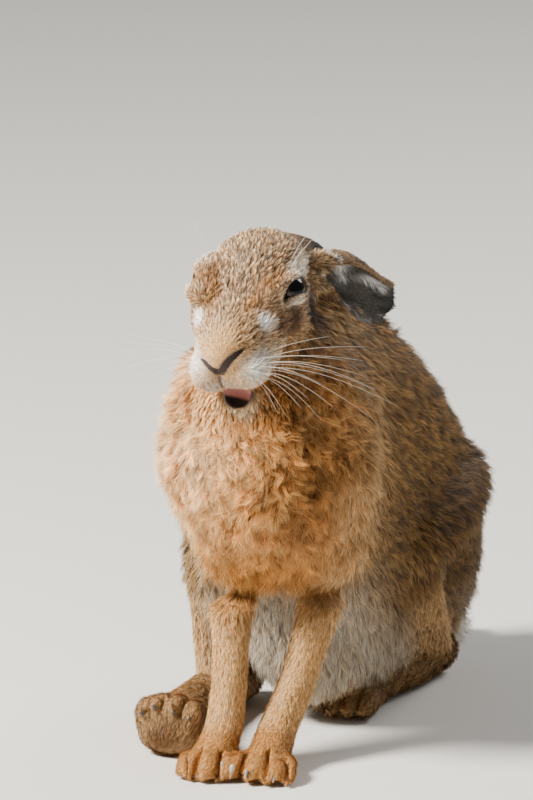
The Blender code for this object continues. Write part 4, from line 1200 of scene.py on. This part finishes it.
chestGrid = {
    "axis": (3, 62),
    "rows": (34, 90, 5),  # how many, lowest height in mm, height of one
    "columns": (40, -130, 6.5),  # how many, first angle in degrees, width of one
    "ends": (32.99, 38.99),  # last places to read between rows and between columns
    "percentile": 12,
    "lift": 1.5,  # mm left over the lower radii
}


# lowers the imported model's locks to the chest under them, by the lower radii round an upright axis
def layChestFlat(skin):
    points = pointsOf(skin)
    weight = chestWeight(points)
    off = points[:, :2] - chestGrid["axis"]
    rowCount, lowest, rowStep = chestGrid["rows"]
    columnCount, first, columnStep = chestGrid["columns"]
    radius, angle = np.linalg.norm(off, axis=1), np.degrees(np.arctan2(off[:, 0], -off[:, 1]))
    columns = np.clip(((angle - first) / columnStep).astype(int), 0, columnCount - 1)
    rows = np.clip(((points[:, 2] - lowest) / rowStep).astype(int), 0, rowCount - 1)
    low = np.zeros((rowCount, columnCount))
    for row in range(rowCount):
        nearRow = (np.abs(rows - row) <= 1) & (weight > 0)
        for column in range(columnCount):
            near = radius[nearRow & (np.abs(columns - column) <= 1)]
            low[row, column] = np.percentile(near, chestGrid["percentile"]) if len(near) > 20 else np.nan
    filled = np.where(np.isnan(low), np.nanmedian(low), low)
    for _ in range(6):
        padded = np.pad(filled, 1, mode="edge")
        around = padded[:-2, 1:-1] + padded[2:, 1:-1] + padded[1:-1, :-2] + padded[1:-1, 2:]
        filled = 0.5 * filled + 0.125 * around
    row = np.clip((points[:, 2] - (lowest + rowStep / 2)) / rowStep, 0, chestGrid["ends"][0])
    column = np.clip((angle - (first + columnStep / 2)) / columnStep, 0, chestGrid["ends"][1])
    r, c = row.astype(int), column.astype(int)
    fr, fc = row - r, column - c
    base = (filled[r, c] * (1 - fc) + filled[r, c + 1] * fc) * (1 - fr)
    base += (filled[r + 1, c] * (1 - fc) + filled[r + 1, c + 1] * fc) * fr
    lowered = np.minimum(1, (base + chestGrid["lift"]) / np.maximum(radius, 1))
    points[:, :2] = chestGrid["axis"] + off * (1 + (lowered - 1) * weight)[:, None]
    setPoints(skin, points)


skin = buildSkin()
skin.data.calc_loop_triangles()
print("skin made:", len(skin.data.loop_triangles), "triangles")

coatPieces = {
    "coat_muzzle": ("muzzle", "jaw"),
    "coat_face": ("face",),
    "coat_crown": ("crown",),
    "coat_neck": ("neck",),
    "coat_throat": ("throat",),
    "coat_ruff_left": ("chest",),
    "coat_ruff_right": ("chest",),
    "coat_shoulders": ("shoulder_left", "shoulder_right", "arm_left", "arm_right"),
    "coat_back_left": ("back",),
    "coat_back_right": ("back",),
    "coat_haunches": ("haunch_left", "haunch_right"),
    "coat_belly": ("belly",),
    "coat_forelegs": ("foreleg_left", "foreleg_right", "paw_left", "paw_right"),
    "coat_hindlegs": ("shank_left", "shank_right", "foot_left", "foot_right"),
    "coat_tail": ("tail",),
    "coat_ears": (),
}
coatPlan = {
    "darkTip": "#2a1f1a",
    "floorGap": 1.2,  # lowest height of any hair's middle, just over the floor
    "most": 198000,  # triangles in one piece
    "quick": (0.3, 1.75),
    "split": {"coat_back": 12, "coat_ruff": 2},  # x where the left piece starts
    # strength, size in mm and seed of the wander that turns, raises and shades the curly locks
    "curls": {"stray": (0.65, 11, 35), "raise": (0.3, 7, 33), "shade": (0.34, 5, 31)},
    "patch": 0.003,  # each hair's size on the unwrapped skin
    "uvMargin": 0.03,
}
stationPicks = {2: (0, 2, 4), 3: (0, 1, 2.5, 4)}  # by a hair's steps, which of its centre points it runs through


# hair roots and their normals, spread over the skin by the plan's density
def spreadRoots(skin, share):
    points, normals = pointsOf(skin), normalsOf(skin)
    skin.data.calc_loop_triangles()
    corners = np.empty(len(skin.data.loop_triangles) * 3, np.int32)
    skin.data.loop_triangles.foreach_get("vertices", corners)
    corners = corners.reshape(-1, 3)
    a, b, c = (points[corners[:, k]] for k in range(3))
    area = 0.5 * np.linalg.norm(np.cross(b - a, c - a), axis=1)
    density = coatFields(points, normals)["density"] * share
    wanted = np.cumsum(area * density[corners].mean(1))
    count = int(wanted[-1])
    spots = (np.arange(count) + rng.random(count)) / count * wanted[-1]
    face = corners[np.minimum(np.searchsorted(wanted, spots), len(corners) - 1)]
    first, second = rng.random(count), rng.random(count)
    over = first + second > 1
    first[over], second[over] = 1 - first[over], 1 - second[over]
    parts = np.stack([1 - first - second, first, second], 1)
    spot = (points[face] * parts[:, :, None]).sum(1)
    normal = unit((normals[face] * parts[:, :, None]).sum(1))
    return spot, normal


def nearestOf(centres, spots):
    tree = KDTree(len(centres))
    for k, centre in enumerate(centres):
        tree.insert(centre, k)
    tree.balance()
    return np.array([tree.find(spot)[1] for spot in spots])


# vectors turned about unit axes by angles in radians
def turnAbout(vectors, axes, angles):
    c, s = np.cos(angles)[:, None], np.sin(angles)[:, None]
    along = axes * (axes * vectors).sum(1, keepdims=True)
    return vectors * c + np.cross(axes, vectors) * s + along * (1 - c)


# hairs end before they would cross an eye, the nose, the lips or a gap between toes
def keepClear(lines):
    free = np.ones(len(lines))
    roots = lines[:, 0]
    inHead = toHead(roots)
    face = (inHead[:, 1] < 105) & (np.abs(inHead[:, 0]) < 50) & (inHead[:, 2] > -60)
    near = np.flatnonzero(face | (toeShare(roots) > 0))
    for k in range(4, 0, -1):
        spots = lines[near, k]
        blocked = np.zeros(len(near), bool)
        for side in (-1, 1):
            arcs, far = arcsOf(side, spots)
            close = np.flatnonzero(far < eyePlan["radius"] + 8)
            blocked[close] |= outsideOpening(arcs[close]) < 0.4
        for path, depth, _ in creases:
            if depth > 0:
                blocked |= alongBone(spots, path)[0] < 0.76
        off = (toHead(spots) - mouthPlan["centre"]) / mouthPlan["reach"]
        blocked |= np.linalg.norm(off, axis=1) < 0.9
        free[near[blocked]] = (k - 0.6) / 4
    at = np.arange(5) * free[:, None]
    low = np.minimum(at.astype(int), 3)
    part = (at - low)[:, :, None]
    pick = np.arange(len(lines))[:, None]
    return lines[pick, low] * (1 - part) + lines[pick, low + 1] * part


# the skin unrolled round its bones, side by side for the members of one piece
def unrolled(spots, owner, members, inHeadAll):
    uvs = np.zeros((len(spots), 2))
    names = list(bones)
    for chart, member in enumerate(members):
        chosen = np.flatnonzero(owner == names.index(member))
        bone = bones[member]
        points = inHeadAll[chosen] if bone["head"] else spots[chosen]
        line = np.asarray(bone["line"], float)[:, :3]
        steps = np.linalg.norm(np.diff(line, axis=0), axis=1)
        best, along, turn = (np.full(len(points), value) for value in (1e9, 0.0, 0.0))
        for k, (a, b) in enumerate(zip(line, line[1:])):
            run = (b - a) / steps[k]
            far = (points - a) @ run
            inside = far if k == 0 else np.maximum(far, 0)
            if k < len(steps) - 1:
                inside = np.minimum(inside, steps[k])
            aside = points - (a + np.clip(far, 0, steps[k])[:, None] * run)
            distance = np.linalg.norm(aside, axis=1)
            first = unit(np.cross(run, (0.31, 0.17, 0.94)))
            angle = np.arctan2(aside @ np.cross(run, first), aside @ first)
            closer = distance < best
            best[closer] = distance[closer]
            along[closer] = (steps[:k].sum() + inside[closer]) / steps.sum()
            turn[closer] = angle[closer]
        uvs[chosen, 0] = (chart + 0.5 + 0.47 * turn / math.pi) / len(members)
        uvs[chosen, 1] = np.clip((along + 1) / 3, 0, 1)
    return coatPlan["uvMargin"] + uvs * (1 - 2 * coatPlan["uvMargin"])


# both ears laid flat, the outside and the inside of each cup apart
def unrolledEars(spots, normals):
    uvs = np.zeros((len(spots), 2))
    best = np.zeros(len(spots))
    for number, side in enumerate(("left", "right")):
        close, along, angle, inside, _ = earPlace(spots, normals, side)
        closer = close > best
        best[closer] = close[closer]
        chart = 2 * number + (inside > 0.5)
        uvs[closer] = np.stack([(chart + 0.5 + 0.45 * np.clip(angle, -1.05, 1.05)) / 4, along], 1)[closer]
    return coatPlan["uvMargin"] + uvs * (1 - 2 * coatPlan["uvMargin"])


# centre lines of all hairs, five points each
def hairLines(spots, normals, field, tuft):
    count = len(spots)
    length = field["length"] * field["lengthJitter"]
    rise = np.clip(field["depth"] / field["length"], 0.02, 0.6)
    start, end = np.arcsin(np.clip(rise * 1.75, 0, 0.95)), np.arcsin(rise * 0.4)
    flow = turnAbout(field["flow"], normals, field["stray"])
    side = np.cross(flow, normals)
    lines = np.zeros((count, 5, 3))
    lines[:, 0] = spots
    for k in range(1, 5):
        s = (k - 0.5) / 4
        angle = (start * (1 - s) + end * s + field["raise"])[:, None]
        lines[:, k] = lines[:, k - 1] + (np.cos(angle) * flow + np.sin(angle) * normals) * length[:, None] / 4
    for k in range(1, 5):
        s = k / 4
        swing = field["wave"] * np.sin(2 * math.pi * (0.95 * s + field["phase"])) * s
        lines[:, k] += side * swing[:, None]
    centre = lines[tuft]
    share = field["gather"][:, None, None] * (np.arange(5) / 4)[None, :, None] ** 1.2
    lines = keepClear(lines + (centre - lines) * share)
    lines[:, :, 2] = np.maximum(lines[:, :, 2], coatPlan["floorGap"])
    return lines


# flat tapering blades along the lines, with a colour from root to tip
def hairMesh(name, lines, field, normals, steps, uvs):
    picks = stationPicks[steps]
    shape = np.stack([0.5 * (lines[:, int(math.floor(p))] + lines[:, int(math.ceil(p))]) for p in picks], 1)
    count = len(shape)
    ahead = unit(np.gradient(shape, axis=1))
    side = unit(np.cross(ahead, normals[:, None, :]))
    roll = field["roll"][:, None, None]
    side = side * np.cos(roll) + np.cross(ahead, side) * np.sin(roll)
    points = np.zeros((count, 2 * steps + 1, 3))
    shade = np.zeros((count, 2 * steps + 1, 3))
    facing = np.zeros((count, 2 * steps + 1, 3))
    place = np.zeros((count, 2 * steps + 1, 2))
    dark = linear(coatPlan["darkTip"])
    for k, pick in enumerate(picks):
        s = pick / 4
        taper = field["width"] * (1.0 - 0.75 * s**1.6) * (0.75 + 0.25 * min(1, 4 * s))
        # roots darker than the middle: partly the underfur's own colour, partly painted shade between the tufts
        low = field["mid"] * (field["root"] + (1 - field["root"]) * min(1, s * 1.9))[:, None]
        colour = low + (field["tip"] - low) * (max(0, s - 0.35) / 0.65) ** 1.3
        ticked = (field["ticked"] * min(1, max(0, (s - 0.25) / 0.3)))[:, None]
        colour = (colour + (dark - colour) * ticked * 0.85) * field["shade"]
        out = np.cross(side[:, k], ahead[:, k])
        out *= np.where((out * normals).sum(1, keepdims=True) < 0, -1, 1)
        out = unit(0.45 * out + 0.8 * normals)
        columns = (2 * k,) if k == steps else (2 * k, 2 * k + 1)
        for column in columns:
            hand = 0 if k == steps else (1 if column == 2 * k else -1)
            points[:, column] = shape[:, k] + side[:, k] * (hand * 0.5 * taper)[:, None]
            shade[:, column] = colour
            facing[:, column] = out
            place[:, column] = uvs + np.array([hand * 0.5, s]) * coatPlan["patch"]
    base = np.arange(count)[:, None] * (2 * steps + 1)
    quads = [base + (2 * k + 1, 2 * k, 2 * k + 2, 2 * k + 3) for k in range(steps - 1)]
    faces = [np.concatenate(quads), base + (2 * steps - 1, 2 * steps - 2, 2 * steps)]
    obj = meshFrom(name, points.reshape(-1, 3), faces)
    setColours(obj, "hairColour", shade.reshape(-1, 3))
    layer = obj.data.uv_layers.new(name="OFBake")
    corners = np.concatenate([f.ravel() for f in faces])
    layer.data.foreach_set("uv", place.reshape(-1, 2)[corners].astype(np.float32).ravel())
    obj.data.normals_split_custom_set_from_vertices(facing.reshape(-1, 3).astype(np.float32))
    return obj


# hare's guard hair: keratin, softly shining along its length, each hair a little unlike its neighbours
def furMaterial():
    material, tree, shader = newMaterial("hare guard hair", Roughness=0.62)
    shader.inputs["Specular IOR Level"].default_value = 0.28
    colour = addNode(tree, "ShaderNodeAttribute", {"attribute_name": "hairColour"})
    varyColour(tree, shader, colour.outputs["Color"], addGrain(tree, 450.0), 0.86, 1.14)
    return material


def curl(spots, curly, name):
    strength, size, seed = coatPlan["curls"][name]
    return strength * curly * wander(spots, size, seed)


def growCoat(skin):
    share, wide = ((1.0, 1.0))
    spots, normals = spreadRoots(skin, share)
    field = coatFields(spots, normals)
    count = len(spots)
    middles = np.flatnonzero(rng.random(count) * field["tuft"] < 1)
    group = nearestOf(spots[middles], spots)
    tuft = middles[group]
    many = len(middles)
    field["width"] = field["width"] * wide * rng.uniform(0.7, 1.3, count)
    field["lengthJitter"] = rng.uniform(0.82, 1.15, many)[group] * rng.uniform(0.8, 1.1, count)
    loose = 1 + 0.5 * np.clip(field["wave"], 0, 3)
    field["stray"] = (rng.normal(0, 0.17, many)[group] + rng.normal(0, 0.13, count)) * loose
    field["raise"] = (rng.normal(0.02, 0.07, many)[group] + rng.normal(0, 0.06, count)) * loose
    curly = ramp(field["wave"], 1, 3)
    field["stray"] += curl(spots, curly, "stray")
    field["raise"] += curl(spots, curly, "raise")
    field["phase"] = rng.random(many)[group] + rng.normal(0, 0.04, count)
    field["roll"] = np.clip(rng.normal(0, 0.5, count), -1.2, 1.2)
    field["ticked"] = ((rng.random(many)[group] * 0.6 + rng.random(count) * 0.4) < field["dark"]).astype(float)
    tone = np.exp(rng.normal(0, 1, many)[group] * 0.3 * field["gather"]) * np.exp(rng.normal(0, 0.2, count))
    warm = (rng.normal(0, 0.05, many)[group] + rng.normal(0, 0.03, count)).clip(-0.12, 0.16)
    tone = tone * np.exp(curl(spots, curly, "shade"))
    field["shade"] = np.stack([tone * (1 + warm), tone, tone * (1 - 1.5 * warm)], 1)
    lines = hairLines(spots, normals, field, tuft)
    print("hairs laid out:", count)
    material = furMaterial()
    names = list(bones)
    for piece, members in coatPieces.items():
        onEar = field["ear"] > 0.5
        if piece == "coat_ears":
            here, steps = onEar, coatKinds["ear"]["steps"]
        else:
            here = np.isin(field["owner"], [names.index(n) for n in members]) & ~onEar
            steps = max(coatKinds[bones[n]["kind"]]["steps"] for n in members)
        if piece[:9] in coatPlan["split"]:
            here &= (spots[:, 0] > coatPlan["split"][piece[:9]]) == piece.endswith("left")
        chosen = np.flatnonzero(here)
        most = int(coatPlan["most"] / (2 * steps - 1))
        if len(chosen) > most:
            print("thinned", piece, len(chosen), "to", most)
            chosen = np.sort(rng.choice(chosen, most, replace=False))
        part = {key: value[chosen] for key, value in field.items()}
        if piece == "coat_ears":
            uvs = unrolledEars(spots[chosen], normals[chosen])
        else:
            uvs = unrolled(spots[chosen], part["owner"], members, toHead(spots[chosen]))
        obj = hairMesh(piece, lines[chosen], part, normals[chosen], steps, uvs)
        finishPiece(obj, material, "fur")
        print(piece, len(chosen), "hairs,", len(chosen) * (2 * steps - 1), "triangles")


# skin and lying underfur in the coat's colours, darkened partly as real underfur and partly as painted shade under
# the hair; bare nose, lips and lid edges
def paintSkin(skin):
    points, normals = pointsOf(skin), normalsOf(skin)
    field = coatFields(points, normals)
    # darkened skin: partly underfur colour, partly painted shade under the hair
    colours = field["mid"] * (0.15 + 0.75 * field["root"])[:, None]
    inHead = toHead(points)
    # the face's lines in their colour; the gaps between the toes darkened with painted shade
    for path, depth, colour in creases:
        share = ramp(1.15 - alongBone(points, path)[0], 0, 0.25)[:, None] * (depth > 0)
        colours = blend(colours, linear(colour), share)
    mouth = mouthShare(inHead)[:, None]
    inside = ramp(1.12 - mouthReach(inHead), 0, 0.08)[:, None]
    # inside the mouth: the tongue's own pink above a plane, painted shade below it
    tongue = ramp(inHead @ mouthPlan["tongueUp"] + mouthPlan["tongueDrop"], 0, 1.6)[:, None]
    liningAndShade = blend(linear(mouthPlan["gap"]), linear(mouthPlan["tongue"]), tongue)
    colours = blend(blend(colours, linear(mouthPlan["lip"]), mouth), liningAndShade, inside)
    for side in (-1, 1):
        arcs, far = arcsOf(side, points)
        close = np.flatnonzero(far < eyePlan["radius"] + 3)
        edge = ramp(0.8 - outsideOpening(arcs[close]), 0, 0.35)[:, None]
        colours[close] = blend(colours[close], linear(eyePlan["margin"]), edge)
    setColours(skin, "skinColour", colours)
    material, tree, shader = newMaterial("hare skin under short fur", Roughness=0.75)  # dull, with a fine rough grain
    colourBy(tree, shader, "skinColour")
    bumpBy(tree, shader, addGrain(tree, 1600.0, 3.0), 0.5, 0.0004)
    finishPiece(skin, material, "fur", *[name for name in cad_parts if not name.startswith("eye_")])


paintSkin(skin)
addEyes()
addClaws()
addWhiskers(skin)
print("eyes, claws and whiskers added")
growCoat(skin)
print("coat grown")
